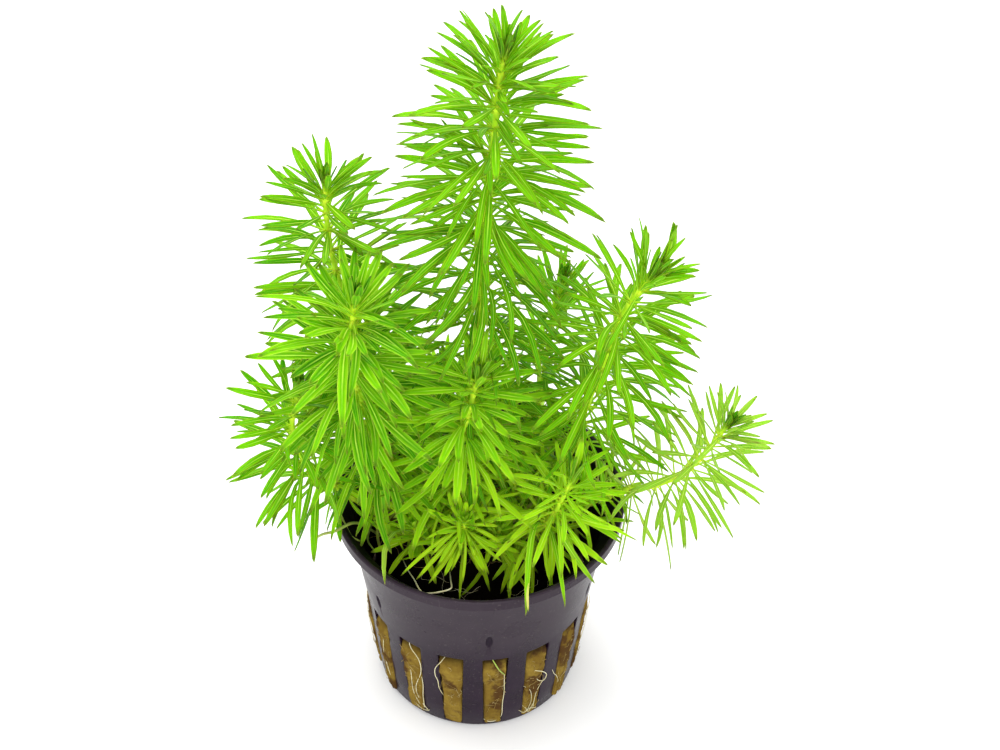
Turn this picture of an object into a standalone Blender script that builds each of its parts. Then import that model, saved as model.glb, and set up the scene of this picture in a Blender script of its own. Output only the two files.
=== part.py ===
"""Potted pogostemon erectus: leafy stems growing from a plug of rock wool in a slotted net pot.

Metres, +Z up. The origin is on the pot's axis, on the surface that its base stands on.
The front of the pot, where the low shoots are, faces -Y.
"""

import itertools
import math
import random

import bmesh
import bpy
from mathutils import Matrix, Vector
from mathutils.bvhtree import BVHTree

MM = 0.001
GAP = 0.3 * MM  # left between pieces that touch

# Net pot
LIP_RADIUS = 26.0 * MM
POT_HEIGHT = 43.5 * MM
LIP_HEIGHT = 2.2 * MM
LIP_EDGE = 0.6 * MM  # flat width at the very top of the rim
WALL_TOP_RADIUS = 23.6 * MM
WALL_TOP_Z = 40.4 * MM
FUNNEL_Z = 40.0 * MM  # where the slanting inside of the rim meets the wall
WALL_BEND_RADIUS = 21.0 * MM
SLOT_TOP_Z = 22.1 * MM
WALL_BEND_Z = 23 * MM  # the wall leans out more above here
BASE_RADIUS = 18.8 * MM
BASE_EDGE = 0.7 * MM
WALL = 1.0 * MM
FLOOR = 1.2 * MM
SLOTS = 16
SLOT_BOTTOM_Z = 1.5 * MM
SLOT_TOP_WIDTH = 4.5 * MM
SLOT_BOTTOM_WIDTH = 2.9 * MM
SLOT_TURN = math.radians(-12.3)  # from the front to the middle of a slot
TURN_STEPS = 2 * SLOTS
BASE_HOLES = 8
BASE_HOLE_INNER = 6.5 * MM
BASE_HOLE_OUTER = 14.5 * MM
BASE_HOLE_WIDTH = 2.4 * MM

# Rock wool: height, half width, half depth and middle of each level, from the bottom up
WOOL_LEVELS = (
    (FLOOR + GAP, 17.2 * MM, 17.2 * MM, (0, 0)),
    (12 * MM, 18.4 * MM, 18.4 * MM, (0, 0)),
    (21 * MM, 19.3 * MM, 19.3 * MM, (0, 0)),
    (24 * MM, 17.2 * MM, 15.6 * MM, (-1.8 * MM, 2.6 * MM)),
    (32.6 * MM, 15.8 * MM, 14.2 * MM, (-3.9 * MM, 4.3 * MM)),
    (34 * MM, 14.8 * MM, 13.2 * MM, (-4.1 * MM, 4.4 * MM)),
)
WOOL_SIDES = 18
POCKET_RADIUS = 1.3 * MM
WOOL_TOP = WOOL_LEVELS[-1][0]
ROOT_Z = 31 * MM  # where a stem ends, in its pocket in the wool

# Stems
STEM_RADIUS = 0.85 * MM
NODE_RADIUS = 1.05 * MM
NODE_HEIGHT = 0.8 * MM
BUD_LENGTH = 2.0 * MM
STEM_SIDES = 4  # the stem is square, and a whorl grows from both rings of a node
BARE_STEP = 8.0 * MM  # between rings below the lowest whorl
POCKET_RISE = 3.4 * MM  # a stem stands straight this far above its end

# Leaves: the youngest whorls stand close and upright, the older ones spread and hang
LEAF_WIDTH = 1.6 * MM
LEAF_THICK = 0.45 * MM
WIDEST_AT = 0.72  # share of the leaf's length
WHORL_GAP = 4.5 * MM
GAP_GROWTH = 0.015  # more for each whorl down
YOUNG_GAP_SHARE = 0.62
YOUNG_GAP_WHORLS = 1.8
YOUNG_LENGTH_SHARE = 0.62
YOUNG_LENGTH_WHORLS = 3.0
YOUNG_WIDTH_SHARE = 0.3
OLD_RISE = -18.0  # degrees above the stem's cross-section
YOUNG_RISE = 82.0
YOUNG_RISE_WHORLS = 3.4
WHORL_TURN = math.radians(22.5)  # from one whorl to the next, past the turn of its own node
DROOP = 14.0  # degrees that an old leaf's outer part hangs below its inner part
DROOP_WHORLS = 6.0
JITTER = 5.0  # degrees
LEAF_START = 0.14  # share of a leaf inside which it may meet its own stem
BUD_LEAVES = 4
WHORL_LEAVES = 8

# Each stem: the points it passes, in millimetres, from where it leaves the wool up to its bud; the number of
# whorls; and the full leaf length in millimetres.
STEMS = {
    "stem_main": (
        ((0.5, 4, 35), (0.6, 4, 53), (0, 4, 67), (-0.4, 4, 85), (-0.2, 4, 97), (0.7, 4, 109),
         (1.5, 4, 118.5), (1.9, 4, 126.5), (2.9, 4, 134.2)),
        18, 18.0,
    ),
    "stem_front_left": (
        ((-12.3, 4, 35), (-15.4, 2, 47), (-17.2, 0, 54.5), (-18.8, -2.2, 62.5), (-20.6, -4.6, 72),
         (-21.2, -7, 83.4), (-20.5, -8, 90.5), (-19.9, -8, 95.4)),
        12, 18.5,
    ),
    "stem_centre": (
        ((-3.9, -2.6, 35), (-3.7, -4.2, 50), (-3, -6, 62), (-1.7, -7.5, 71), (-0.3, -8, 78.8)),
        8, 17.0,
    ),
    "stem_right_front": (
        ((5.4, -3.9, 35), (9.4, -7, 40.5), (11.9, -8.5, 44.8), (13.5, -9.8, 49.7), (14.8, -10.8, 55),
         (15.8, -11, 58.8)),
        6, 16.5,
    ),
    "stem_right": (
        ((8.7, 4, 35), (13, 3.2, 43), (16.4, 2.4, 53), (18.2, 1.5, 64), (20.4, 0.6, 73.5),
         (21.8, 0, 81), (23.6, -1, 88.5), (27.4, -1, 95.5)),
        12, 17.5,
    ),
    "stem_far_right": (
        ((8.2, 0.1, 35), (14.4, -0.7, 39.8), (20, -1.4, 43.2), (26, -2, 47.4), (31, -3.4, 50),
         (35.3, -5, 54.8), (38.1, -7, 61.3), (41.6, -8, 69.6)),
        8, 15.5,
    ),
    "stem_back_left": (
        ((-10.4, 9.2, 35), (-14.5, 8.4, 51), (-18.6, 8.5, 65), (-22.6, 9, 78), (-25, 9, 89),
         (-25.7, 9, 97), (-25.7, 9, 105.4)),
        11, 16.5,
    ),
    "stem_far_left": (
        ((-15.2, -1.1, 35), (-20.5, -2, 41.5), (-26.3, -3, 48.5), (-30.4, -4, 55),
         (-31.8, -4.6, 61), (-31.6, -5, 66.5), (-30.3, -5, 72.6)),
        7, 15.5,
    ),
    "stem_back_right": (
        ((6.2, 9.5, 35), (8.4, 10, 47.6), (10.6, 10.6, 60), (12.2, 12.4, 75.5), (13.6, 13, 83)),
        7, 14.5,
    ),
    "shoot_front": (
        ((-2.6, -6.9, 35), (-2.5, -9.6, 42), (-2.2, -11.6, 49)),
        3, 15.0,
    ),
    "shoot_front_left": (
        ((-10.1, -4.8, 35), (-10.8, -7.6, 40), (-11.2, -9.4, 45)),
        3, 14.0,
    ),
    "shoot_inner_right": (
        ((3.6, -0.2, 35), (5.6, -2, 44), (6.8, -3, 52)),
        2, 15.0,
    ),
    "shoot_inner_front": (
        ((1.4, -5.2, 35), (3, -8, 40), (4, -9.6, 45)),
        2, 14.0,
    ),
    "shoot_inner_left": (
        ((-8.5, -0.1, 35), (-9.4, -1.6, 44), (-9.8, -2.4, 50)),
        2, 14.0,
    ),
    "shoot_inner_back": (
        ((-3.5, 9.8, 35), (-5.2, 11.4, 48), (-6.4, 12.4, 62)),
        3, 14.0,
    ),
}

# A loose root and a bare stalk: the points each one passes, in millimetres, and its radius
THREADS = {
    "root_rim": (
        ((-13.3, -7.8, 33.6), (-13, -12, 37.5), (-11.6, -16.9, 39.7), (-9.9, -20.6, 41.7), (-8.5, -22.2, 42.9),
         (-6.4, -22.6, 43), (-5.1, -22.4, 42.8), (-4.3, -20.6, 41.2), (-4.6, -14.5, 37), (-4.9, -10.6, 33.4)),
        0.35 * MM,
    ),
    "stalk_left": (
        ((-17.8, -2.6, 34.3), (-20.2, -6, 40.5), (-22, -9.6, 45), (-24.8, -11.8, 45.2), (-27, -11.3, 43.8),
         (-28.4, -10, 41.4)),
        0.4 * MM,
    ),
}

# What a leaf may do to stay clear of what is already there: degrees sideways, degrees up, share of its length
SIDE_STEPS = (0, 9, -9, 18, -18)
RISE_STEPS = (0, 9, -9, 18, -18, 30)
LENGTH_STEPS = (1, 0.88, 0.75, 0.6, 0.45)


def clear_scene():
    """Removes everything that the file starts with."""
    for obj in list(bpy.data.objects):
        bpy.data.objects.remove(obj, do_unlink=True)


def new_collection(name):
    collection = bpy.data.collections.new(name)
    bpy.context.scene.collection.children.link(collection)
    return collection


def add_object(name, mesh, collection, material=None):
    obj = bpy.data.objects.new(name, mesh)
    collection.objects.link(obj)
    if material:
        mesh.materials.append(material)
    return obj


def plain_material(name, colour, roughness):
    material = bpy.data.materials.new(name)
    material.use_nodes = True
    shader = material.node_tree.nodes["Principled BSDF"]
    shader.inputs["Base Color"].default_value = (*colour, 1)
    shader.inputs["Roughness"].default_value = roughness
    shader.inputs["Metallic"].default_value = 0
    return material


def mesh_from(bm, name):
    """Closes off a bmesh: triangles, faces out, and a mesh of that name."""
    bmesh.ops.triangulate(bm, faces=bm.faces)
    bmesh.ops.recalc_face_normals(bm, faces=bm.faces)
    if bm.calc_volume(signed=True) < 0:
        bmesh.ops.reverse_faces(bm, faces=bm.faces)
    mesh = bpy.data.meshes.new(name)
    bm.to_mesh(mesh)
    bm.free()
    return mesh


def wall_radius(z):
    """The outer radius of the pot's wall at a height."""
    if z < WALL_BEND_Z:
        return BASE_RADIUS + (WALL_BEND_RADIUS - BASE_RADIUS) * z / WALL_BEND_Z
    share = (z - WALL_BEND_Z) / (WALL_TOP_Z - WALL_BEND_Z)
    return WALL_BEND_RADIUS + (WALL_TOP_RADIUS - WALL_BEND_RADIUS) * share


def pot_profile():
    """The pot's outline at +X: from the middle of the floor up the inside, over the rim and down the outside."""
    return (
        (0, FLOOR),
        (wall_radius(FLOOR) - WALL, FLOOR),
        (wall_radius(FUNNEL_Z) - WALL, FUNNEL_Z),
        (LIP_RADIUS - LIP_EDGE, POT_HEIGHT),
        (LIP_RADIUS, POT_HEIGHT),
        (LIP_RADIUS, POT_HEIGHT - LIP_HEIGHT),
        (WALL_TOP_RADIUS, WALL_TOP_Z),
        (WALL_BEND_RADIUS, WALL_BEND_Z),
        (BASE_RADIUS, BASE_EDGE),
        (BASE_RADIUS - BASE_EDGE, 0),
        (0, 0),
    )


def add_cutter(name, bm, collection):
    cutter = add_object(name, mesh_from(bm, name), collection)
    cutter.hide_render = True
    cutter.display_type = "WIRE"
    return cutter


def turned_boxes(count, first_turn, low, high, bottom_share=1.0):
    """A ring of boxes about the axis, from corner low to corner high at +X, narrower at the bottom by bottom_share."""
    bm = bmesh.new()
    size = Vector(high) - Vector(low)
    middle = (Vector(high) + Vector(low)) / 2
    for i in range(count):
        made = bmesh.ops.create_cube(bm, size=1)["verts"]
        turn = first_turn + i * math.tau / count - math.pi / 2
        for v in made:
            across = bottom_share if v.co.z < 0 else 1.0
            v.co = Vector((v.co.x * size.x, v.co.y * size.y * across, v.co.z * size.z)) + middle
        bmesh.ops.rotate(bm, verts=made, matrix=Matrix.Rotation(turn, 3, "Z"))
    return bm


def subtract(obj, cutter):
    cut = obj.modifiers.new(cutter.name, "BOOLEAN")
    cut.operation = "DIFFERENCE"
    cut.object = cutter


def merge_flat_faces(obj):
    """Dissolves the edges that cutting leaves inside flat faces."""
    merge = obj.modifiers.new("flat_faces", "DECIMATE")
    merge.decimate_type = "DISSOLVE"
    merge.angle_limit = math.radians(0.3)


def make_pot(collection, cutters):
    """The net pot: a turned wall, cut by tall slots, with holes in its floor."""
    mesh = bpy.data.meshes.new("net_pot")
    outline = pot_profile()
    turn = Matrix.Rotation(SLOT_TURN - math.pi / 2, 3, "Z")
    mesh.from_pydata([turn @ Vector((r, 0, z)) for r, z in outline], [(i, i + 1) for i in range(len(outline) - 1)], [])
    pot = add_object("net_pot", mesh, collection, plain_material("pot_plastic", (0.055, 0.046, 0.062), 0.42))
    turn = pot.modifiers.new("turned", "SCREW")
    turn.axis = "Z"
    turn.steps = turn.render_steps = TURN_STEPS
    turn.use_merge_vertices = True
    turn.merge_threshold = 0.00001
    slots = turned_boxes(
        SLOTS,
        SLOT_TURN,
        (BASE_RADIUS - 4 * WALL, -SLOT_TOP_WIDTH / 2, SLOT_BOTTOM_Z),
        (LIP_RADIUS, SLOT_TOP_WIDTH / 2, SLOT_TOP_Z),
        SLOT_BOTTOM_WIDTH / SLOT_TOP_WIDTH,
    )
    holes = turned_boxes(
        BASE_HOLES,
        SLOT_TURN,
        (BASE_HOLE_INNER, -BASE_HOLE_WIDTH / 2, -FLOOR),
        (BASE_HOLE_OUTER, BASE_HOLE_WIDTH / 2, 2 * FLOOR),
    )
    for name, bm in (("slot_cutters", slots), ("floor_hole_cutters", holes)):
        subtract(pot, add_cutter(name, bm, cutters))
    merge_flat_faces(pot)
    return pot


def extrude_ring(bm, ring, places):
    """Extrudes a closed ring of vertices to new places and gives the new ring in the same order."""
    edges = [bm.edges.get((a, b)) for a, b in zip(ring, ring[1:] + ring[:1])]
    made = bmesh.ops.extrude_edge_only(bm, edges=edges)["geom"]
    new = {v for v in made if isinstance(v, bmesh.types.BMVert)}
    out = []
    for old, place in zip(ring, places):
        v = next(e.other_vert(old) for e in old.link_edges if e.other_vert(old) in new)
        v.co = place
        out.append(v)
    return out


def start_ring(bm, places):
    """The first ring of a loft, closed by a cap."""
    verts = bmesh.ops.create_circle(bm, cap_ends=True, radius=MM, segments=len(places))["verts"]
    for v, place in zip(verts, places):
        v.co = place
    return list(verts)


def close_ring(bm, ring, place):
    """Closes a loft to a point."""
    cap = bmesh.ops.contextual_create(bm, geom=ring)["faces"]
    bmesh.ops.poke(bm, faces=cap)["verts"][0].co = place


def make_wool(collection, cutters, roots):
    """The plug of rock wool, lofted from its levels, with a pocket for each stem."""
    bm = bmesh.new()
    ring = None
    for z, half_width, half_depth, (x, y) in WOOL_LEVELS:
        turns = [i * math.tau / WOOL_SIDES for i in range(WOOL_SIDES)]
        places = [Vector((x + half_width * math.cos(a), y + half_depth * math.sin(a), z)) for a in turns]
        ring = extrude_ring(bm, ring, places) if ring else start_ring(bm, places)
    bmesh.ops.contextual_create(bm, geom=ring)
    material = plain_material("rock_wool", (0.26, 0.17, 0.04), 0.95)
    wool = add_object("rock_wool", mesh_from(bm, "rock_wool"), collection, material)
    pockets = bmesh.new()
    depth = WOOL_TOP - ROOT_Z + GAP
    for x, y in roots:
        made = bmesh.ops.create_cone(
            pockets,
            cap_ends=True,
            segments=STEM_SIDES,
            radius1=POCKET_RADIUS,
            radius2=POCKET_RADIUS,
            depth=2 * depth,
        )["verts"]
        bmesh.ops.translate(pockets, verts=made, vec=(x, y, WOOL_TOP))
    subtract(wool, add_cutter("pocket_cutters", pockets, cutters))
    merge_flat_faces(wool)
    return wool


class Route:
    """A smooth line through a stem's points, with a frame carried along it that doesn't twist."""

    STEPS = 12  # between two points

    def __init__(self, points):
        ends = [2 * points[0] - points[1], *points, 2 * points[-1] - points[-2]]
        self.places = [points[0]]
        for a, b, c, d in zip(ends, ends[1:], ends[2:], ends[3:]):
            self.places += [catmull_rom(a, b, c, d, (i + 1) / self.STEPS) for i in range(self.STEPS)]
        self.along = [0.0]
        for a, b in zip(self.places, self.places[1:]):
            self.along.append(self.along[-1] + (b - a).length)
        self.sides = []
        side = Vector((1, 0, 0))
        for i in range(len(self.places)):
            up = self.direction(i)
            side = (side - up * side.dot(up)).normalized()
            self.sides.append(side)

    @property
    def length(self):
        return self.along[-1]

    def direction(self, i):
        last = len(self.places) - 1
        return (self.places[min(i + 1, last)] - self.places[max(i - 1, 0)]).normalized()

    def frame(self, distance):
        """Place, two sides and direction at a distance from the root."""
        i = next((n for n, d in enumerate(self.along) if d >= distance), len(self.along) - 1)
        i = max(i, 1)
        share = (distance - self.along[i - 1]) / (self.along[i] - self.along[i - 1])
        place = self.places[i - 1].lerp(self.places[i], share)
        up = self.direction(i - 1).lerp(self.direction(i), share).normalized()
        side = self.sides[i - 1].lerp(self.sides[i], share)
        side = (side - up * side.dot(up)).normalized()
        return place, side, up.cross(side), up

    def ring(self, distance, radius, turn):
        place, side, other, _ = self.frame(distance)
        turns = [turn + i * math.tau / STEM_SIDES for i in range(STEM_SIDES)]
        return [place + radius * (math.cos(a) * side + math.sin(a) * other) for a in turns]


def catmull_rom(a, b, c, d, t):
    """A point between b and c on the smooth line through a, b, c and d."""
    return 0.5 * (2 * b + (c - a) * t + (2 * a - 5 * b + 4 * c - d) * t**2 + (3 * b - a - 3 * c + d) * t**3)


def whorl_places(count):
    """Distances of the whorls below the bud's tip, youngest first."""
    places = [BUD_LENGTH]
    for age in range(count - 1):
        gap = WHORL_GAP * (1 + GAP_GROWTH * age) * (1 - YOUNG_GAP_SHARE * math.exp(-age / YOUNG_GAP_WHORLS))
        places.append(places[-1] + gap)
    return places


def leaf_length(age, full):
    return full * (1 - YOUNG_LENGTH_SHARE * math.exp(-age / YOUNG_LENGTH_WHORLS))


def leaf_rise(age):
    return OLD_RISE + YOUNG_RISE * math.exp(-age / YOUNG_RISE_WHORLS)


def leaf_shape(base, outward, up, length, rise, droop, side_turn):
    """The middle line and the width direction of a leaf: its base, its widest place, its tip, and across."""
    rise, droop, side_turn = (math.radians(a) for a in (rise, droop, side_turn))
    across = up.cross(outward)
    outward = math.cos(side_turn) * outward + math.sin(side_turn) * across
    across = up.cross(outward).normalized()
    inner = math.cos(rise) * outward + math.sin(rise) * up
    widest = base + length * WIDEST_AT * inner
    outer = (inner - math.sin(droop) * Vector((0, 0, 1))).normalized()
    tip = widest + length * (1 - WIDEST_AT) * outer
    return widest, tip, across, inner.cross(across).normalized()


def leaf_corners(widest, across, normal, width, above):
    """The three corners of a leaf at its widest: left, right, and the ridge above or the keel below."""
    ridge = widest + (LEAF_THICK if above else -LEAF_THICK) * normal
    return widest - across * width / 2, widest + across * width / 2, ridge


def leaf_tree(base, corners, tip):
    """A leaf's surface, for the test of what it would cut through."""
    points = [*base, *corners, tip]
    faces = [(0, 1, 4, 3), (1, 2, 5, 4), (2, 0, 3, 5), (3, 4, 6), (4, 5, 6), (5, 3, 6)]
    return BVHTree.FromPolygons(points, faces)


def box_of(points):
    return Vector(map(min, zip(*points))), Vector(map(max, zip(*points)))


class Space:
    """What is already there. Each thing is kept as a search tree with its box and the name of its owner."""

    def __init__(self):
        self.things = []

    def add(self, tree, points, owner):
        self.things.append((tree, *box_of(points), owner))

    def add_mesh(self, obj):
        """Adds an object as its modifiers leave it."""
        graph = bpy.context.evaluated_depsgraph_get()
        made = obj.evaluated_get(graph).to_mesh()
        self.add(BVHTree.FromObject(obj, graph), [v.co.copy() for v in made.vertices], obj.name)

    def leaf_is_free(self, base, corners, tip, owner):
        """A leaf must be clear of all that others own, and past its start also of its own stem's leaves."""
        whole = leaf_tree(base, corners, tip)
        outer = leaf_tree([b.lerp(c, LEAF_START / WIDEST_AT) for b, c in zip(base, corners)], corners, tip)
        low, high = box_of([*base, *corners, tip])
        for other, other_low, other_high, other_owner in self.things:
            near = all(low[i] <= other_high[i] and other_low[i] <= high[i] for i in range(3))
            if near and (outer if other_owner == owner else whole).overlap(other):
                return False
        return True


def leaf_choices():
    """Every way that a leaf may give, the least change first."""
    ways = itertools.product(SIDE_STEPS, RISE_STEPS, LENGTH_STEPS)
    return sorted(ways, key=lambda w: abs(w[0]) / 25 + abs(w[1]) / 20 + 3 * (1 - w[2]))


def grow_leaf(bm, left_right_ridge, above, frame, wish, space, owner):
    """Grows one leaf from a face of a node, clear of everything there, or leaves the face bare."""
    base = [v.co.copy() for v in left_right_ridge]
    middle = sum(base, Vector()) / 3
    place, up = frame[0], frame[3]
    outward = middle - place
    outward = (outward - up * outward.dot(up)).normalized()
    length, width, rise, droop, side_turn = wish
    for side_step, rise_step, share in CHOICES:
        widest, tip, across, normal = leaf_shape(
            middle, outward, up, length * share, rise + rise_step, droop, side_turn + side_step
        )
        corners = leaf_corners(widest, across, normal, width * (0.5 + 0.5 * share), above)
        if space.leaf_is_free(base, corners, tip, owner):
            break
    else:
        return False
    space.add(leaf_tree(base, corners, tip), [*base, *corners, tip], owner)
    face = next(f for f in left_right_ridge[0].link_faces if set(f.verts) == set(left_right_ridge))
    made = bmesh.ops.extrude_discrete_faces(bm, faces=[face])["faces"][0]
    for old, corner in zip(left_right_ridge, corners):
        v = next(e.other_vert(old) for e in old.link_edges if e.other_vert(old) in made.verts)
        v.co = corner
    bmesh.ops.poke(bm, faces=[made])["verts"][0].co = tip
    return True


CHOICES = leaf_choices()


def node_faces(bm, low, high):
    """Cuts the faces between a node's two rings in triangles: the left, right and third corner of each one."""
    faces = []
    for i in range(STEM_SIDES):
        j = (i + 1) % STEM_SIDES
        quad = next(f for f in low[i].link_faces if {low[i], low[j], high[i], high[j]} == set(f.verts))
        bmesh.utils.face_split(quad, low[j], high[i])
        faces.append(((low[i], low[j], high[i]), True))
        faces.append(((high[i], high[j], low[j]), False))
    return faces


def make_tube(name, spec):
    """A stem without its leaves: a square tube through its route, with a swollen node for each whorl."""
    points, count, full = spec
    points = [Vector(p) * MM for p in points]
    route = Route([Vector((points[0].x, points[0].y, ROOT_Z)), *points])
    bm = bmesh.new()
    turn = 0.0
    ring = start_ring(bm, route.ring(0, STEM_RADIUS, turn))
    whorls = list(reversed(list(enumerate(whorl_places(count)))))
    bare = route.length - whorls[0][1] - POCKET_RISE
    steps = max(1, round(bare / BARE_STEP))
    for i in range(steps):
        ring = extrude_ring(bm, ring, route.ring(POCKET_RISE + bare * i / steps, STEM_RADIUS, turn))
    nodes = []
    for age, below in whorls:
        distance = route.length - below
        turn += WHORL_TURN
        low = extrude_ring(bm, ring, route.ring(distance, NODE_RADIUS, turn))
        turn += math.pi / STEM_SIDES
        high = extrude_ring(bm, low, route.ring(distance + NODE_HEIGHT, NODE_RADIUS, turn))
        nodes.append((age, route.frame(distance + NODE_HEIGHT / 2), node_faces(bm, low, high)))
        ring = high
    close_ring(bm, ring, route.places[-1])
    bmesh.ops.triangulate(bm, faces=bm.faces)
    return bm, nodes, full


def make_threads(collection, space):
    """The white root that loops inside the front rim, and the bare stalk that hangs over the left rim."""
    colours = {"root_rim": (0.62, 0.60, 0.38), "stalk_left": (0.20, 0.34, 0.05)}
    for name, (points, radius) in THREADS.items():
        route = Route([Vector(p) * MM for p in points])
        bm = bmesh.new()
        ring = start_ring(bm, route.ring(0, radius, 0))
        for distance in route.along[Route.STEPS :: Route.STEPS]:
            ring = extrude_ring(bm, ring, route.ring(distance, radius, 0))
        bmesh.ops.contextual_create(bm, geom=ring)
        mesh = mesh_from(bm, name)
        material = plain_material(name, colours[name], 0.6)
        thread = add_object(name, mesh, collection, material)
        space.add_mesh(thread)


def grow_leaves(name, bm, nodes, full, space):
    """Grows every whorl of a stem, the lowest first, and gives the number of leaves."""
    chance = random.Random(name)
    grown = 0
    for age, frame, faces in nodes:
        count = WHORL_LEAVES if age else BUD_LEAVES
        for corners, above in faces[:: WHORL_LEAVES // count]:
            wish = (
                leaf_length(age, full) * MM * chance.uniform(0.88, 1.08),
                LEAF_WIDTH * (1 - YOUNG_WIDTH_SHARE * math.exp(-age / 2)),
                leaf_rise(age) + chance.uniform(-JITTER, JITTER),
                DROOP * (1 - math.exp(-age / DROOP_WHORLS)) + chance.uniform(-JITTER, JITTER),
                chance.uniform(-JITTER, JITTER),
            )
            grown += grow_leaf(bm, corners, above, frame, wish, space, name)
    return grown


def make_stems(collection, space):
    """All stems. Their tubes come first, so that no leaf cuts through one."""
    leaf_green = plain_material("leaf_green", (0.10, 0.38, 0.02), 0.45)
    tubes = {name: make_tube(name, spec) for name, spec in STEMS.items()}
    for name, (bm, _, _) in tubes.items():
        space.add(BVHTree.FromBMesh(bm), [v.co.copy() for v in bm.verts], name)
    for name, (bm, nodes, full) in tubes.items():
        grown = grow_leaves(name, bm, nodes, full, space)
        stem = add_object(name, mesh_from(bm, name), collection, leaf_green)
        print(f"{name}: {len(nodes)} whorls, {grown} leaves, {len(stem.data.polygons)} triangles")


def main():
    clear_scene()
    collection = new_collection("potted pogostemon erectus")
    cutters = new_collection("cutters")
    pot = make_pot(collection, cutters)
    roots = [(points[0][0] * MM, points[0][1] * MM) for points, _, _ in STEMS.values()]
    wool = make_wool(collection, cutters, roots)
    bpy.context.view_layer.update()
    space = Space()
    space.add_mesh(pot)
    space.add_mesh(wool)
    make_threads(collection, space)
    make_stems(collection, space)


main()
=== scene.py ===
# %% [markdown]
# # Dressing a potted pogostemon erectus
#
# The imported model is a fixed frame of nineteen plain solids: a slotted net pot, a plug of rock wool,
# fifteen leafy stems and shoots, a root and a bare stalk. This lesson gives every one of them its real
# surface and fine form. Blender works in metres, and a value written as 3.4 * MM is 3.4 millimetres on the
# real plant.

import math
import random

import bmesh
import bpy
import numpy as np
from mathutils import Matrix, Vector


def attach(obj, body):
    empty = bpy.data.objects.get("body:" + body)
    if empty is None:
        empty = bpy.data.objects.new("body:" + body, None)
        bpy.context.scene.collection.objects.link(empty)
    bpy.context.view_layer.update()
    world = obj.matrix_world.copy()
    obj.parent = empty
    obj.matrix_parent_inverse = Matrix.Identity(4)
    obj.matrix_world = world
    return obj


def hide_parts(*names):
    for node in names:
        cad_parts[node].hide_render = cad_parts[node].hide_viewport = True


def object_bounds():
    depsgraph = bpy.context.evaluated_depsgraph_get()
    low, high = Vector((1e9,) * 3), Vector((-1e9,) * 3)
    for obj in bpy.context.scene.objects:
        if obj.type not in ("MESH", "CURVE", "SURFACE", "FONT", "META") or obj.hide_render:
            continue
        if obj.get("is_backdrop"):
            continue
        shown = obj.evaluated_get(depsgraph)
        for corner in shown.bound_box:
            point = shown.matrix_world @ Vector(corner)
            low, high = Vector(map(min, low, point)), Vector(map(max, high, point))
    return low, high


MM = 0.001
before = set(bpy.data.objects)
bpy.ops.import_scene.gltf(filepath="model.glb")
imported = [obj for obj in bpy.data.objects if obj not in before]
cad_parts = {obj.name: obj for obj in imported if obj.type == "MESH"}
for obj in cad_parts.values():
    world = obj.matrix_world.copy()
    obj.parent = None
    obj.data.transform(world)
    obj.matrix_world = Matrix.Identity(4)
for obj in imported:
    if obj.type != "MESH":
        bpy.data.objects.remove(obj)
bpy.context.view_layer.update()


def leave_edit_mode():
    if bpy.context.object and bpy.context.object.mode != "OBJECT":
        bpy.ops.object.mode_set(mode="OBJECT")


def select_only(*objects):
    """Selects these objects and nothing else, and makes the first one active."""
    leave_edit_mode()
    bpy.ops.object.select_all(action="DESELECT")
    for obj in objects:
        obj.select_set(True)
    bpy.context.view_layer.objects.active = objects[0]


def start_shape(add, name, **size):
    """Adds a primitive with nothing else selected, names it and opens it in edit mode, all of it selected."""
    leave_edit_mode()
    bpy.ops.object.select_all(action="DESELECT")
    add(**size)
    obj = bpy.context.object
    obj.name = obj.data.name = name
    bpy.ops.object.mode_set(mode="EDIT")
    return obj


def pick(obj, test, kind="VERT"):
    """In edit mode, selects the corners, edges or faces whose middle passes the test."""
    bpy.ops.mesh.select_mode(type=kind)
    bpy.ops.mesh.select_all(action="DESELECT")
    bm = bmesh.from_edit_mesh(obj.data)
    for part in {"VERT": bm.verts, "EDGE": bm.edges, "FACE": bm.faces}[kind]:
        corners = [part.co] if kind == "VERT" else [v.co for v in part.verts]
        if test(sum(corners, Vector()) / len(corners), part):
            part.select_set(True)
    bm.select_flush_mode()
    bmesh.update_edit_mesh(obj.data)


def turn_faces_out():
    """Turns every face of the shape in edit mode outwards, and leaves edit mode."""
    bpy.ops.mesh.select_all(action="SELECT")
    bpy.ops.mesh.normals_make_consistent(inside=False)
    leave_edit_mode()


def apply_modifiers(obj):
    select_only(obj)
    for modifier in list(obj.modifiers):
        bpy.ops.object.modifier_apply(modifier=modifier.name)


def seat(obj):
    """Moves the object's place into its mesh, so that the object is at the origin, unturned and unscaled."""
    select_only(obj)
    bpy.ops.object.transform_apply(location=True, rotation=True, scale=True)


def join(pieces, name):
    select_only(*pieces)
    bpy.ops.object.join()
    joined = bpy.context.object
    joined.name = joined.data.name = name
    return joined


def hand_over(piece, slot, *nodes):
    """Tells the frame what carries the piece and what it stands for. The slot, the name of its finish, is not
    used.
    """
    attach(piece, "root")
    if nodes:
        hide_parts(*nodes)
    triangles = sum(len(f.vertices) - 2 for f in piece.data.polygons)
    print(f"{piece.name}: {triangles} triangles")


# %% [markdown]
# ## The net pot
#
# The real pot is one moulding of dark plastic: a turned wall that leans out, a flared rim, and sixteen tall
# slots. A lathe profile with Screw would do, and so would a subdivided cylinder. Here a disc is drawn up
# ring by ring, the way a potter pulls a wall: each step is one extrude and one resize, so every ring is a
# real radius and height.

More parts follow.
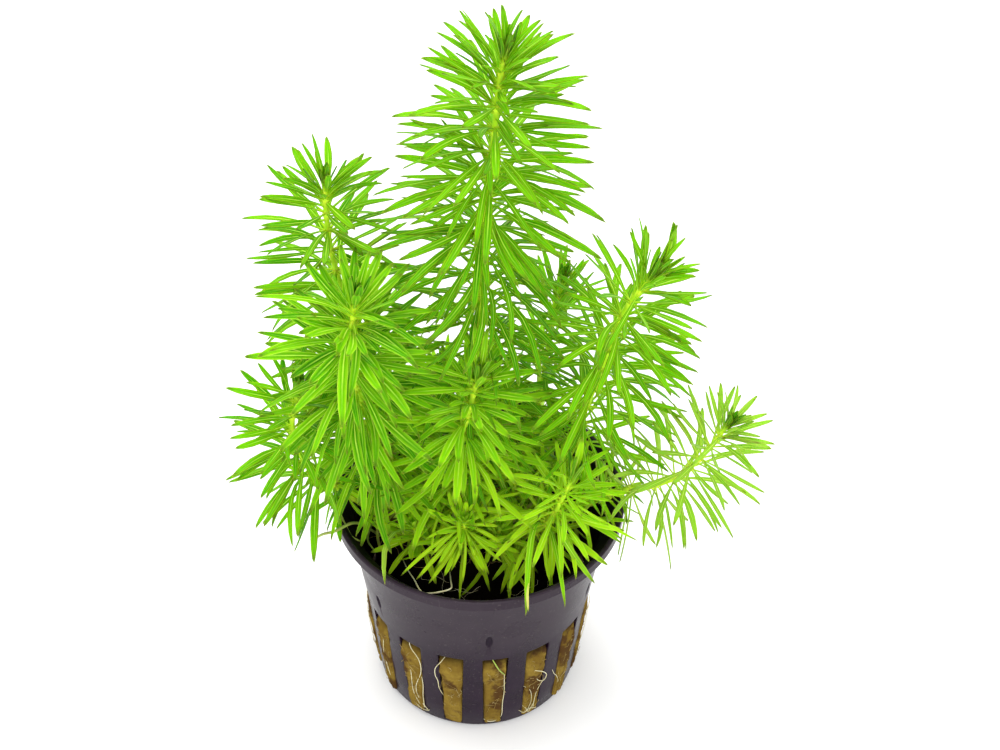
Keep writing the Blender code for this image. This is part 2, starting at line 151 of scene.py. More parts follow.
# %% Pot wall
POT_SIDES = 160
POT_OUTSIDE = (  # radius and height in mm, from the edge of the foot up to the rim
    (17.6, 0), (18.25, 0.25), (18.6, 0.9), (19.2, 6), (19.95, 13), (20.9, 22.3), (21.1, 23.4), (22.2, 31),
    (23.5, 39.8), (23.75, 40.6), (24.5, 41.05), (25.8, 41.3), (26, 41.5), (26, 43.25), (25.8, 43.5),
)
POT_INSIDE = (  # on over the rim and down the inside to the floor
    (25.35, 43.5), (25.1, 43.3), (22.75, 40.3), (22.5, 39.6), (20.1, 23.4), (19.9, 22.3), (18.2, 6),
    (17.9, 1.2),
)


def draw_up(profile):
    """Extrudes what is selected from ring to ring of the profile, in millimetres."""
    for (radius, height), (new_radius, new_height) in zip(profile, profile[1:]):
        step = (0, 0, (new_height - height) * MM)
        bpy.ops.mesh.extrude_region_move(TRANSFORM_OT_translate={"value": step})
        share = new_radius / radius
        bpy.ops.transform.resize(value=(share, share, 1), center_override=(0, 0, new_height * MM))


pot = start_shape(
    bpy.ops.mesh.primitive_circle_add,
    "pot",
    vertices=POT_SIDES,
    radius=POT_OUTSIDE[0][0] * MM,
    fill_type="NGON",
)
draw_up(POT_OUTSIDE + POT_INSIDE)
turn_faces_out()
print("pot wall:", len(pot.data.polygons), "faces,", round(pot.dimensions.x / MM, 1), "mm across the rim")

# %% [markdown]
# ## Slots, floor openings and dimples
#
# In the mould the slots are tapered blocks, so each cutter is a tapered block too: a cube, its lower end
# drawn in and the edges that pass through the wall bevelled. One is modelled and the rest are copies turned
# about the pot. Six small sunk marks sit on the collar. They are pressed in with stretched balls.

# %% Pot openings
SLOTS = 16
SLOT_TURN = -12.3  # degrees from the front to the middle of a slot
SLOT_LOW, SLOT_HIGH = 1.5 * MM, 22.1 * MM
SLOT_WIDE, SLOT_NARROW = 4.8 * MM, 3.3 * MM
SLOT_CORNER = 0.35 * MM
SLOT_OUT = 19.5 * MM  # from the pot's axis to the middle of a slot's cutter
CUT_DEPTH = 8 * MM  # how far a cutter reaches in and out
FLOOR_OPENINGS, OPENING_WIDTH, OPENING_CORNER = 8, 2.4 * MM, 0.9 * MM
OPENING_OUT, OPENING_HEIGHT = 10.5 * MM, 0.5 * MM  # the middle of its cutter
DIMPLES, DIMPLE_TURN, DIMPLE_HEIGHT = 6, 6.5, 27.6 * MM
DIMPLE_OUT, DIMPLE_RADII = 22.15 * MM, (0.75 * MM, 0.85 * MM, 2.4 * MM)
CLOSE = 0.1 * MM  # nearer than this counts as the same place


def turned_copies(obj, count, first_turn):
    """Copies of obj about the pot's axis, each with its own mesh. At zero degrees obj faces the front."""
    copies = []
    for i in range(count):
        copy = obj.copy()
        copy.data = obj.data.copy()
        copy.data.transform(Matrix.Rotation(math.radians(first_turn) + i * math.tau / count, 4, "Z"))
        bpy.context.collection.objects.link(copy)
        copies.append(copy)
    bpy.data.objects.remove(obj)
    return copies


def cut_out(obj, cutter):
    cut = obj.modifiers.new("cut", "BOOLEAN")
    cut.operation = "DIFFERENCE"
    cut.solver = "EXACT"
    cut.object = cutter
    apply_modifiers(obj)
    bpy.data.objects.remove(cutter)


slot = start_shape(
    bpy.ops.mesh.primitive_cube_add,
    "slot_cutter",
    size=1,
    location=(0, -SLOT_OUT, (SLOT_LOW + SLOT_HIGH) / 2),
    scale=(SLOT_WIDE, CUT_DEPTH, SLOT_HIGH - SLOT_LOW),
)
leave_edit_mode()
seat(slot)
bpy.ops.object.mode_set(mode="EDIT")
pick(slot, lambda place, _: place.z < SLOT_LOW + CLOSE)
bpy.ops.transform.resize(value=(SLOT_NARROW / SLOT_WIDE, 1, 1), center_override=(0, -SLOT_OUT, SLOT_LOW))


def is_slot_corner(place, _):
    """True for the four long edges that run from the inside to the outside."""
    at_end = min(abs(place.z - SLOT_LOW), abs(place.z - SLOT_HIGH)) < CLOSE
    return at_end and abs(place.y + SLOT_OUT) < MM and abs(place.x) > MM


pick(slot, is_slot_corner, "EDGE")
bpy.ops.mesh.bevel(offset=SLOT_CORNER, segments=3)
leave_edit_mode()
cut_out(pot, join(turned_copies(slot, SLOTS, SLOT_TURN), "slot_cutters"))

opening = start_shape(
    bpy.ops.mesh.primitive_cube_add,
    "floor_cutter",
    size=1,
    location=(0, -OPENING_OUT, OPENING_HEIGHT),
    scale=(OPENING_WIDTH, CUT_DEPTH, CUT_DEPTH / 2),
)
pick(opening, lambda place, _: abs(place.z - OPENING_HEIGHT) < MM, "EDGE")
bpy.ops.mesh.bevel(offset=OPENING_CORNER, segments=4)
leave_edit_mode()
seat(opening)
cut_out(pot, join(turned_copies(opening, FLOOR_OPENINGS, SLOT_TURN), "floor_cutters"))

dimple = start_shape(
    bpy.ops.mesh.primitive_uv_sphere_add,
    "dimple_cutter",
    segments=16,
    ring_count=12,
    radius=1,
    location=(0, -DIMPLE_OUT, DIMPLE_HEIGHT),
    scale=DIMPLE_RADII,
)
leave_edit_mode()
seat(dimple)
cut_out(pot, join(turned_copies(dimple, DIMPLES, DIMPLE_TURN), "dimple_cutters"))
print("pot with openings:", len(pot.data.polygons), "faces")

# %% Pot edges
soften = pot.modifiers.new("soften", "BEVEL")
soften.width = 0.12 * MM
soften.segments = 2
soften.limit_method = "ANGLE"
soften.angle_limit = math.radians(50)
apply_modifiers(pot)
bpy.ops.object.shade_smooth_by_angle(angle=math.radians(32))

# %% [markdown]
# ## The rock wool
#
# Rock wool is a mat of mineral fibres. The plug was pressed into the pot, so it bulges out through the
# slots, and above them it stands clear of the wall at the front. A sculpted mesh or a cloth filling could
# show that. Here the plug is drawn up in rings like the pot, pressed out where the slots let it, and
# roughened by two noise layers.

# %% Wool plug
WOOL_SIDES = SLOTS * 20
WOOL_FORM = (  # height, half width, half depth, middle x, middle y, in mm
    (1.25, 17.3, 17.3, 0, 0), (1.52, 17.33, 17.33, 0, 0), (1.62, 17.35, 17.35, 0, 0),
    (12, 18.6, 18.6, 0, 0), (21.4, 19.5, 19.5, 0, 0), (22.6, 18.9, 18.6, -0.4, 0.6),
    (24.2, 17.2, 15.6, -1.8, 2.6), (32, 16, 14.4, -3.8, 4.2), (33.6, 15, 13.4, -4.1, 4.4),
    (34, 13.6, 12.2, -4.1, 4.4), (34.2, 9, 8, -4.1, 4.4), (34, 4.5, 4, -4.1, 4.4),
    (34, 0.6, 0.5, -4.1, 4.4),
)
WOOL_STEP = 0.7  # mm between rings
SLOT_EDGE = 0.22 * MM  # over this distance from a slot's edge the wool comes up to its full height
FOOT_STEEPNESS = 12  # how many times faster it does so at a slot's lower end


def wall_radius(height):
    """The pot's outer radius at a height, both in metres."""
    heights = [z * MM for _, z in POT_OUTSIDE]
    return float(np.interp(height, heights, [r * MM for r, _ in POT_OUTSIDE]))


def slot_share(turn, height):
    """How deep a place is inside a slot: 0 at its edge and 1 from a little way in. The turn is in degrees."""
    across = (turn - SLOT_TURN + 180 / SLOTS) % (360 / SLOTS) - 180 / SLOTS
    grown = (height - SLOT_LOW) / (SLOT_HIGH - SLOT_LOW)
    half = (SLOT_NARROW + (SLOT_WIDE - SLOT_NARROW) * grown) / 2
    side = half - abs(math.radians(across)) * wall_radius(height)
    end = min((height - SLOT_LOW) * FOOT_STEEPNESS, SLOT_HIGH - height)
    share = min(max(min(side, end) / SLOT_EDGE, 0), 1)
    return share * share * (3 - 2 * share)


def front_turn(place):
    """Degrees about the pot's axis from its front, towards its right."""
    return math.degrees(math.atan2(place[0], -place[1]))


wool = start_shape(
    bpy.ops.mesh.primitive_circle_add,
    "wool",
    vertices=WOOL_SIDES,
    radius=WOOL_FORM[0][1] * MM,
    fill_type="NGON",
    location=(0, 0, WOOL_FORM[0][0] * MM),
)
for low, high in zip(WOOL_FORM, WOOL_FORM[1:]):
    climb = math.hypot(high[0] - low[0], high[1] - low[1])
    steps = max(1, round(climb / WOOL_STEP))
    for i in range(steps):
        a, b = (tuple(p + (q - p) * (i + k) / steps for p, q in zip(low, high)) for k in (0, 1))
        shift = ((b[3] - a[3]) * MM, (b[4] - a[4]) * MM, (b[0] - a[0]) * MM)
        bpy.ops.mesh.extrude_region_move(TRANSFORM_OT_translate={"value": shift})
        centre = (b[3] * MM, b[4] * MM, b[0] * MM)
        bpy.ops.transform.resize(value=(b[1] / a[1], b[2] / a[2], 1), center_override=centre)
turn_faces_out()
seat(wool)
print("wool:", len(wool.data.polygons), "faces")

# %% Wool pressed into the slots
WOOL_BULGE = 0.3 * MM  # how far it stands out of the wall in the middle of a slot
SLACK_FROM, SLACK_OVER = 17.5, 4.6  # mm: above the first height the wool falls back, over the second
SLACK = 0.75  # the share of its bulge that it loses by this
LUMPS = ((4.5 * MM, 0.8 * MM), (1.3 * MM, 0.4 * MM))  # width and depth
FOOT_HEIGHT, FOOT_BULGE = 3 * MM, 0.12 * MM  # below this height the lumps don't move the wool up or down


def keep_values(mesh, **values):
    """Keeps numbers on the corners, as lists or one for all, under names that a material can read."""
    for name, numbers in values.items():
        numbers = np.broadcast_to(np.asarray(numbers, np.float32), len(mesh.vertices))
        mesh.attributes.new(name, "FLOAT", "POINT").data.foreach_set("value", np.ascontiguousarray(numbers))


pressed = []
for corner in wool.data.vertices:
    place = corner.co
    share = 0.0
    if SLOT_LOW < place.z < SLOT_HIGH:
        turn, height = front_turn(place), place.z / MM
        share = slot_share(turn, place.z)
        held = 1 - SLACK * max(0, (height - SLACK_FROM) / SLACK_OVER) ** 1.3
        waves = math.sin(turn * 0.9 + 3 * math.sin(turn * 0.23))
        unevenness = 0.35 * waves + 0.2 * math.sin(height * 0.55 + turn)
        reach = wall_radius(place.z) + WOOL_BULGE * (1 + unevenness)
        now = math.hypot(place.x, place.y)
        scale = 1 + (reach / now - 1) * share * held
        place.x *= scale
        place.y *= scale
    pressed.append(share)
for width, depth in LUMPS:
    lumps = bpy.data.textures.new("wool_lumps", "CLOUDS")
    lumps.noise_scale = width
    lumps.noise_depth = 2
    roughen = wool.modifiers.new("roughen", "DISPLACE")
    roughen.texture = lumps
    roughen.texture_coords = "LOCAL"
    roughen.strength = depth
    roughen.mid_level = 0.5
heights = [corner.co.z for corner in wool.data.vertices]
apply_modifiers(wool)
for corner, height, share in zip(wool.data.vertices, heights, pressed):
    if height < FOOT_HEIGHT:
        corner.co.z = height
        if share > 0.5:
            grown = max(1, (wall_radius(height) + FOOT_BULGE) / math.hypot(corner.co.x, corner.co.y))
            corner.co.x *= grown
            corner.co.y *= grown
bpy.ops.object.shade_smooth()

# %% [markdown]
# ## One leaf
#
# A leaf of this plant is narrow: a thin pale base, the widest place at two thirds of its length, a blunt
# point and a shallow channel over the midrib. A flat strip with Solidify is the quick way. Here a disc of
# eight corners is drawn out along X, which gives a closed leaf with a keel in under sixty faces. All the
# hundreds of leaves are copies of it.

# %% Leaf model
LEAF_LENGTH = 16.0 * MM
LEAF_HALF_WIDTH = 0.76 * MM
LEAF_OUTLINE = (  # share of the length, share of the half width, half thickness in mm
    (0.0, 0.36, 0.16), (0.16, 0.38, 0.13), (0.34, 0.70, 0.10), (0.52, 0.96, 0.09), (0.70, 1.0, 0.08),
    (0.87, 0.76, 0.07), (0.965, 0.38, 0.05),
)
CHANNEL_DEPTH, KEEL_DEPTH = 0.13 * MM, 0.07 * MM  # how far the midrib is sunk above and stands out below
MIDRIB_NEAR = 0.01 * MM  # corners this near the middle line belong to the midrib

leaf_model = start_shape(
    bpy.ops.mesh.primitive_circle_add,
    "leaf_model",
    vertices=8,
    radius=LEAF_HALF_WIDTH,
    fill_type="NGON",
    rotation=(0, math.pi / 2, 0),
)
wide, thick = 1.0, LEAF_HALF_WIDTH / MM
x = 0.0
for share, new_wide, new_thick in LEAF_OUTLINE:
    if share:
        bpy.ops.mesh.extrude_region_move(TRANSFORM_OT_translate={"value": (share * LEAF_LENGTH - x, 0, 0)})
    x = share * LEAF_LENGTH
    bpy.ops.transform.resize(value=(1, new_wide / wide, new_thick / thick), center_override=(x, 0, 0))
    wide, thick = new_wide, new_thick
bpy.ops.mesh.extrude_region_move(TRANSFORM_OT_translate={"value": (LEAF_LENGTH - x, 0, 0)})
bpy.ops.mesh.merge(type="CENTER")
pick(leaf_model, lambda place, _: abs(place.y) < MIDRIB_NEAR and place.z > MIDRIB_NEAR)
bpy.ops.transform.translate(value=(0, 0, -CHANNEL_DEPTH))
pick(leaf_model, lambda place, _: abs(place.y) < MIDRIB_NEAR and place.z < -0.05 * MM)
bpy.ops.transform.translate(value=(0, 0, -KEEL_DEPTH))
turn_faces_out()
seat(leaf_model)
print("leaf:", len(leaf_model.data.polygons), "faces")

# %% [markdown]
# ## Where the stems run
#
# Each stem follows the same smooth line as its solid, so the points are the solid model's own, repeated
# here. A whorl of leaves grows at every node. The youngest whorls stand close together under the bud, the
# old ones apart.

# %% Stem routes
# The last column, the deepness of green, is partly each stem's own colour and partly painted light: the
# shoots and the low middle stems get little of it, so that they show bright in the plant's shade.
STEMS = {  # points in mm, whorls, full leaf length in mm, more leaves in a whorl, width, deepness of green
    "stem_main": (
        ((0.5, 4, 35), (0.6, 4, 53), (0, 4, 67), (-0.4, 4, 85), (-0.2, 4, 97), (0.7, 4, 109),
         (1.5, 4, 118.5), (1.9, 4, 126.5), (2.9, 4, 134.2)),
        18, 18.0, 11, 0.9, 1.0,
    ),
    "stem_front_left": (
        ((-12.3, 4, 35), (-15.4, 2, 47), (-17.2, 0, 54.5), (-18.8, -2.2, 62.5), (-20.6, -4.6, 72),
         (-21.2, -7, 83.4), (-20.5, -8, 90.5), (-19.9, -8, 95.4)),
        12, 18.5, 13, 0.95, 1.0,
    ),
    "stem_centre": (
        ((-3.9, -2.6, 35), (-3.7, -4.2, 50), (-3, -6, 62), (-1.7, -7.5, 71), (-0.3, -8, 78.8)),
        8, 17.0, 10, 0.88, 0.45,
    ),
    "stem_right_front": (
        ((5.4, -3.9, 35), (9.4, -7, 40.5), (11.9, -8.5, 44.8), (13.5, -9.8, 49.7), (14.8, -10.8, 55),
         (15.8, -11, 58.8)),
        6, 16.5, 4, 0.62, 0.3,
    ),
    "stem_right": (
        ((8.7, 4, 35), (13, 3.2, 43), (16.4, 2.4, 53), (18.2, 1.5, 64), (20.4, 0.6, 73.5),
         (21.8, 0, 81), (23.6, -1, 88.5), (27.4, -1, 95.5)),
        12, 17.5, 8, 0.8, 0.68,
    ),
    "stem_far_right": (
        ((8.2, 0.1, 35), (14.4, -0.7, 39.8), (20, -1.4, 43.2), (26, -2, 47.4), (31, -3.4, 50),
         (35.3, -5, 54.8), (38.1, -7, 61.3), (41.6, -8, 69.6)),
        8, 15.5, 0, 0.6, 0.6,
    ),
    "stem_back_left": (
        ((-10.4, 9.2, 35), (-14.5, 8.4, 51), (-18.6, 8.5, 65), (-22.6, 9, 78), (-25, 9, 89),
         (-25.7, 9, 97), (-25.7, 9, 105.4)),
        11, 16.5, 2, 0.86, 1.0,
    ),
    "stem_far_left": (
        ((-15.2, -1.1, 35), (-20.5, -2, 41.5), (-26.3, -3, 48.5), (-30.4, -4, 55),
         (-31.8, -4.6, 61), (-31.6, -5, 66.5), (-30.3, -5, 72.6)),
        7, 15.5, 7, 0.78, 1.0,
    ),
    "stem_back_right": (
        ((6.2, 9.5, 35), (8.4, 10, 47.6), (10.6, 10.6, 60), (12.2, 12.4, 75.5), (13.6, 13, 83)),
        7, 14.5, 2, 0.6, 0.5,
    ),
    "shoot_front": (((-2.6, -6.9, 35), (-2.5, -9.6, 42), (-2.2, -11.6, 49)), 3, 15.0, 4, 0.62, 0.2),
    "shoot_front_left": (((-10.1, -4.8, 35), (-10.8, -7.6, 40), (-11.2, -9.4, 45)), 3, 14.0, 7, 0.62, 0.2),
    "shoot_inner_right": (((3.6, -0.2, 35), (5.6, -2, 44), (6.8, -3, 52)), 2, 15.0, 7, 0.62, 0.2),
    "shoot_inner_front": (((1.4, -5.2, 35), (3, -8, 40), (4, -9.6, 45)), 2, 14.0, 7, 0.62, 0.2),
    "shoot_inner_left": (((-8.5, -0.1, 35), (-9.4, -1.6, 44), (-9.8, -2.4, 50)), 2, 14.0, 7, 0.62, 0.2),
    "shoot_inner_back": (((-3.5, 9.8, 35), (-5.2, 11.4, 48), (-6.4, 12.4, 62)), 3, 14.0, 7, 0.62, 0.2),
}
ROOT_HEIGHT = 31 * MM  # where a stem ends in the wool
BUD_LENGTH = 2.0 * MM
WHORL_GAP = 4.5 * MM


def smooth_line(points, steps=12):
    """Places along a smooth line through the points (a Catmull-Rom curve)."""
    ends = [2 * points[0] - points[1], *points, 2 * points[-1] - points[-2]]
    line = [points[0]]
    for a, b, c, d in zip(ends, ends[1:], ends[2:], ends[3:]):
        for i in range(1, steps + 1):
            t = i / steps
            square, cube = 2 * a - 5 * b + 4 * c - d, 3 * b - a - 3 * c + d
            line.append(0.5 * (2 * b + (c - a) * t + square * t**2 + cube * t**3))
    return line


class Route:
    """A stem's line, with its length and its direction at any distance from the root."""

    def __init__(self, points):
        self.line = smooth_line(points)
        steps = [(b - a).length for a, b in zip(self.line, self.line[1:])]
        self.along = np.concatenate([[0], np.cumsum(steps)])
        self.length = float(self.along[-1])

    def at(self, distance):
        i = int(np.clip(np.searchsorted(self.along, distance), 1, len(self.line) - 1))
        share = (distance - self.along[i - 1]) / (self.along[i] - self.along[i - 1])
        return self.line[i - 1].lerp(self.line[i], share), (self.line[i] - self.line[i - 1]).normalized()

    def nearest(self, place):
        """Distance from the root of the sample that lies closest to a place."""
        nearest = min(range(len(self.line)), key=lambda i: (self.line[i] - place).length_squared)
        return float(self.along[nearest])


def whorl_distances(count):
    """How far each whorl sits below the bud's tip, the youngest first, by the solid model's own rule."""
    places = [BUD_LENGTH]
    for age in range(count - 1):
        places.append(places[-1] + WHORL_GAP * (1 + 0.015 * age) * (1 - 0.62 * math.exp(-age / 1.8)))
    return places


ROUTES = {}
for name, (points, *_) in STEMS.items():
    points = [Vector(p) * MM for p in points]
    ROUTES[name] = Route([Vector((points[0].x, points[0].y, ROOT_HEIGHT)), *points])
print("stems:", {name: round(route.length / MM) for name, route in ROUTES.items()})

# %% [markdown]
# ## Reading the solids' leaves
#
# The solid stems already have their leaves, as plain blades that keep clear of each other. A blade there is
# three base corners, three corners at its widest and one tip where only three edges meet. Finding these
# tips gives every leaf's middle line, and the modelled leaf is then laid along it, so both models keep the
# same form.


# %% Leaf lines from the solids
AGE_LENGTH = 60 * MM  # a leaf this far below the bud is fully old, and has age 1
YOUNGEST = 0.036  # a leaf younger than this belongs to the dark tuft in the bud
LEAF_FOOT = 0.35 * MM  # a leaf starts this far from the middle of its stem


def fullness(age):
    """Young leaves are a little broader than old ones, for their length."""
    return 1.14 - 0.30 * min(max((age - 0.15) / 0.8, 0), 1)


class Leaf:
    """The middle line of one leaf, its width direction, its upper side and how it looks."""

    def __init__(self, base, widest, tip, across, upper, width, age, tint, chance, dry=0.0):
        self.base, self.widest, self.tip = base, widest, tip
        self.across, self.upper = across, upper
        self.width = width * fullness(age) * chance.uniform(0.9, 1.1)
        self.age, self.tint, self.dry = age, tint, dry
        wild = 0.5 + 0.8 * min(age, 1.2)
        self.twist = wild * chance.uniform(-0.7, 0.7)
        self.arch = wild * chance.uniform(-0.03, 0.06)
        self.sway = wild * chance.uniform(-0.07, 0.07)
        self.curl = wild * chance.uniform(-0.14, 0.12)
        self.hook = wild * chance.uniform(-0.13, 0.13)


def solid_leaves(name):
    """The leaves of a solid stem, each found from its tip."""
    bm = bmesh.new()
    bm.from_mesh(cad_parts[name].data)
    bmesh.ops.remove_doubles(bm, verts=bm.verts, dist=0.001 * MM)
    route = ROUTES[name]
    chance = random.Random("finish " + name)
    leaves = []
    for tip in bm.verts:
        if len(tip.link_edges) != 3:
            continue
        middle = [edge.other_vert(tip) for edge in tip.link_edges]
        around = {edge.other_vert(v) for v in middle for edge in v.link_edges}
        base = around - set(middle) - {tip}
        pairs = ((a, b) for a in middle for b in middle if a is not b)
        left, right = max(pairs, key=lambda pair: (pair[0].co - pair[1].co).length)
        start = sum((v.co for v in base), Vector()) / len(base)
        widest = (left.co + right.co) / 2
        distance = route.nearest(start)
        centre, up = route.at(distance)
        across = (right.co - left.co).normalized()
        inner = (widest - start).normalized()
        outward = start - centre
        outward = (outward - up * outward.dot(up)).normalized()
        wanted = up * inner.dot(outward) - outward * inner.dot(up)
        upper = inner.cross(across)
        if upper.dot(wanted) < 0:
            upper = -upper
        leaves.append(
            Leaf(
                start - LEAF_FOOT * outward, widest, tip.co.copy(), across, upper.normalized(),
                STEMS[name][4] * (0.35 + 0.65 * (right.co - left.co).length / (1.6 * MM)),
                max((route.length - distance) / AGE_LENGTH, YOUNGEST), chance.random(), chance,
            )
        )
    bm.free()
    return leaves


LEAVES = {name: solid_leaves(name) for name in STEMS}
print("leaves read:", {name: len(leaves) for name, leaves in LEAVES.items()})

# %% [markdown]
# ## More leaves than the solids have
#
# The solids hold the leaves that make the plant's outline. The real plant also has tufts of tiny upright
# leaves in each bud, and a thicket of thin older leaves low in the middle. They are added here by the same
# rules of growth: a whorl's leaves are spread evenly about the stem, and each one may turn, rise and bend a
# little by chance.

# %% Extra leaves
RIM_HEIGHT = 43.5 * MM
POT_CLEAR_RADIUS = 20.8 * MM  # leaves below the rim stay inside this
RIM_CLEAR, LOWEST_LEAF = 0.6 * MM, 24 * MM  # they clear the rim's top by so much, and hang no lower than this
WIDEST_AT = 0.66  # share of its length at which a new leaf is widest


def clears_pot(*places):
    """True where a leaf's places are inside the pot, or wholly above it."""
    low = [p for p in places if p.z < RIM_HEIGHT + RIM_CLEAR]
    return all(math.hypot(p.x, p.y) < POT_CLEAR_RADIUS and p.z > LOWEST_LEAF for p in low)


def grown_leaf(route, distance, turn, length, rise, width, chance, droop=10.0, age=None, dry=0.0):
    """A leaf that leaves the stem at a distance, at a turn about it and a rise above its cross-section."""
    centre, up = route.at(distance)
    side = up.orthogonal().normalized()
    outward = (math.cos(turn) * side + math.sin(turn) * up.cross(side)).normalized()
    across = up.cross(outward)
    rise = math.radians(rise)
    inner = math.cos(rise) * outward + math.sin(rise) * up
    base = centre + LEAF_FOOT * outward
    widest = base + WIDEST_AT * length * inner
    outer = (inner - math.sin(math.radians(droop)) * Vector((0, 0, 1))).normalized()
    tip = widest + (1 - WIDEST_AT) * length * outer
    age = (route.length - distance) / AGE_LENGTH if age is None else age
    upper = (up * inner.dot(outward) - outward * inner.dot(up)).normalized()
    return Leaf(base, widest, tip, across, upper, width, age, chance.random(), chance, dry)


BUD_SIZE = {"stem_right_front": 1.6, "stem_centre": 1.4, "stem_right": 1.3}  # the larger tufts
BUD_RINGS = (  # distance below the tip in mm, leaves, share of the full length, rise in degrees, width
    (0.2, 4, 0.18, 86, 0.62), (0.9, 5, 0.29, 76, 0.74), (4.4, 4, 0.62, 66, 1.05), (8.4, 4, 0.86, 58, 1.1),
)


def bud_leaves(name):
    """The tuft in a bud: a few tiny dark leaves, held by rings of longer upright ones."""
    route = ROUTES[name]
    chance = random.Random("bud " + name)
    _, whorls, full, _, thin, _ = STEMS[name]
    leaves = []
    rings = BUD_RINGS[: 2 if name in LEAVES_SEEN else whorls + 1]
    size = BUD_SIZE.get(name, 1.0)
    for ring, (below, count, share, rise, width) in enumerate(rings):
        for i in range(count):
            turn = (i + 0.5 * ring) * math.tau / count + chance.uniform(-0.3, 0.3)
            leaf = grown_leaf(
                route, route.length - below * MM, turn, size * full * MM * share * chance.uniform(0.82, 1.1),
                rise + chance.uniform(-9, 7), width * (0.5 + 0.5 * thin), chance, droop=chance.uniform(-8, 4),
            )
            if clears_pot(leaf.base, leaf.widest, leaf.tip):
                leaves.append(leaf)
    return leaves


def hides_shoot(name, leaf):
    """True for a leaf of the middle stem that would hang in front of the low front shoot."""
    tip = leaf.tip / MM
    return name == "stem_centre" and tip.y < -11 and tip.z < 59 and -10 < tip.x < 6


def between_leaves(name):
    """A whorl on the real plant has a dozen leaves. These stand between the solid's eight."""
    route = ROUTES[name]
    _, whorls, full, extras, thin, _ = STEMS[name]
    chance = random.Random("between " + name)
    leaves = []
    for age, below in enumerate(whorl_distances(whorls)):
        if age < (2 if extras > 8 else 3):  # the youngest whorls are still closed
            continue
        first = chance.uniform(0, math.tau)
        for i in range(extras):
            leaf = grown_leaf(
                route, route.length - below + chance.uniform(-0.5, 0.9) * MM,
                first + i * math.tau / extras + chance.uniform(-0.3, 0.3),
                full * MM * (1 - 0.62 * math.exp(-age / 3)) * chance.uniform(0.62, 1.04),
                -18 + 82 * math.exp(-age / 3.4) + chance.uniform(-12, 22),
                thin * chance.uniform(0.65, 1.0), chance, droop=chance.uniform(2, 26),
            )
            if clears_pot(leaf.base, leaf.widest, leaf.tip) and not hides_shoot(name, leaf):
                leaves.append(leaf)
    return leaves


LOW_WHORL = 10  # leaves in a whorl on a stem's foot
BARE_FOOT = 6.5 * MM  # the lowest part of a stem has none


def low_leaves(name):
    """Thin old leaves on the bare foot of a stem, where they clear the pot."""
    route = ROUTES[name]
    _, count, full, *_ = STEMS[name]
    chance = random.Random("low " + name)
    leaves = []
    below = whorl_distances(count)[-1] + 3.6 * MM
    while route.length - below > BARE_FOOT:
        first = chance.uniform(0, math.tau)
        for i in range(LOW_WHORL):
            leaf = grown_leaf(
                route, route.length - below, first + i * math.tau / LOW_WHORL + chance.uniform(-0.3, 0.3),
                full * MM * chance.uniform(0.4, 0.9), chance.uniform(-22, 38), chance.uniform(0.45, 0.75),
                chance, droop=chance.uniform(0, 30), age=chance.uniform(0.9, 1.3),
                dry=chance.uniform(0.3, 0.8) if chance.random() < 0.18 else 0.0,
            )
            # Painted light: these low leaves lie in the plant's shade, so they get less of the deep green.
            leaf.tint *= 0.4
            if leaf.tip.y < -9 * MM:  # those at the front stay fresh
                leaf.dry = 0.0
            if clears_pot(leaf.base, leaf.widest, leaf.tip):
                leaves.append(leaf)
        below += chance.uniform(2.4, 3.4) * MM
    return leaves


SHORTENED = 0.55  # share that is left of the solid's leaves that would hide the shoot
for leaf in LEAVES["stem_centre"]:
    if hides_shoot("stem_centre", leaf):
        leaf.widest, leaf.tip = (leaf.base.lerp(place, SHORTENED) for place in (leaf.widest, leaf.tip))


# %% [markdown]
# ## Leaves over the rim
#
# A few leaves hang out over the front rim, where everybody sees them, so chance doesn't place these. Each
# is given one by one: its foot on a stem, its widest place and its tip. One is a little yellow, and one has a
# dried tip.

# %% Leaves placed one by one
RIM_LEAVES = (  # stem, foot, widest place and tip in mm, width, dryness
    ("stem_right_front", (11.5, -8.4, 44.2), (8.6, -21.5, 48.6), (8.9, -28.0, 43.2), 0.68, 0.0),
    ("stem_right_front", (8.9, -25.4, 48.2), (8.7, -27.8, 46.6), (8.9, -28.7, 44.8), 0.30, 0.9),
    ("stem_right_front", (11.9, -8.5, 44.8), (13.6, -19.5, 45.6), (15.5, -25.6, 43.0), 0.72, 0.0),
    ("stem_right_front", (13.5, -9.8, 48.0), (16.5, -17.5, 45.5), (20.6, -19.2, 41.6), 0.7, 0.05),
    ("shoot_front_left", (-10.9, -8.0, 41.5), (-15.6, -17.4, 45.6), (-15.5, -22.2, 43.2), 0.6, 0.25),
)


RIM_LEAF_AGE = 0.5
STILL = 0.2  # a leaf placed one by one keeps this share of its chance bends


def rim_leaf(foot, widest, tip, width, dry, chance):
    foot, widest, tip = (Vector(p) * MM for p in (foot, widest, tip))
    inner = (widest - foot).normalized()
    across = inner.cross(Vector((0, 0, 1))).normalized()
    upper, tint = across.cross(inner), chance.random() * 0.4
    leaf = Leaf(foot, widest, tip, across, upper, width, RIM_LEAF_AGE, tint, chance, dry)
    leaf.curl, leaf.hook = STILL * leaf.curl, STILL * leaf.hook
    return leaf


# %% [markdown]
# ## The camera
#
# The photograph was taken from above, about 43 degrees down, with a long lens. The camera's place was
# solved from the pot's round rim, its foot and its height. It is set up this early because the next step
# looks through it.

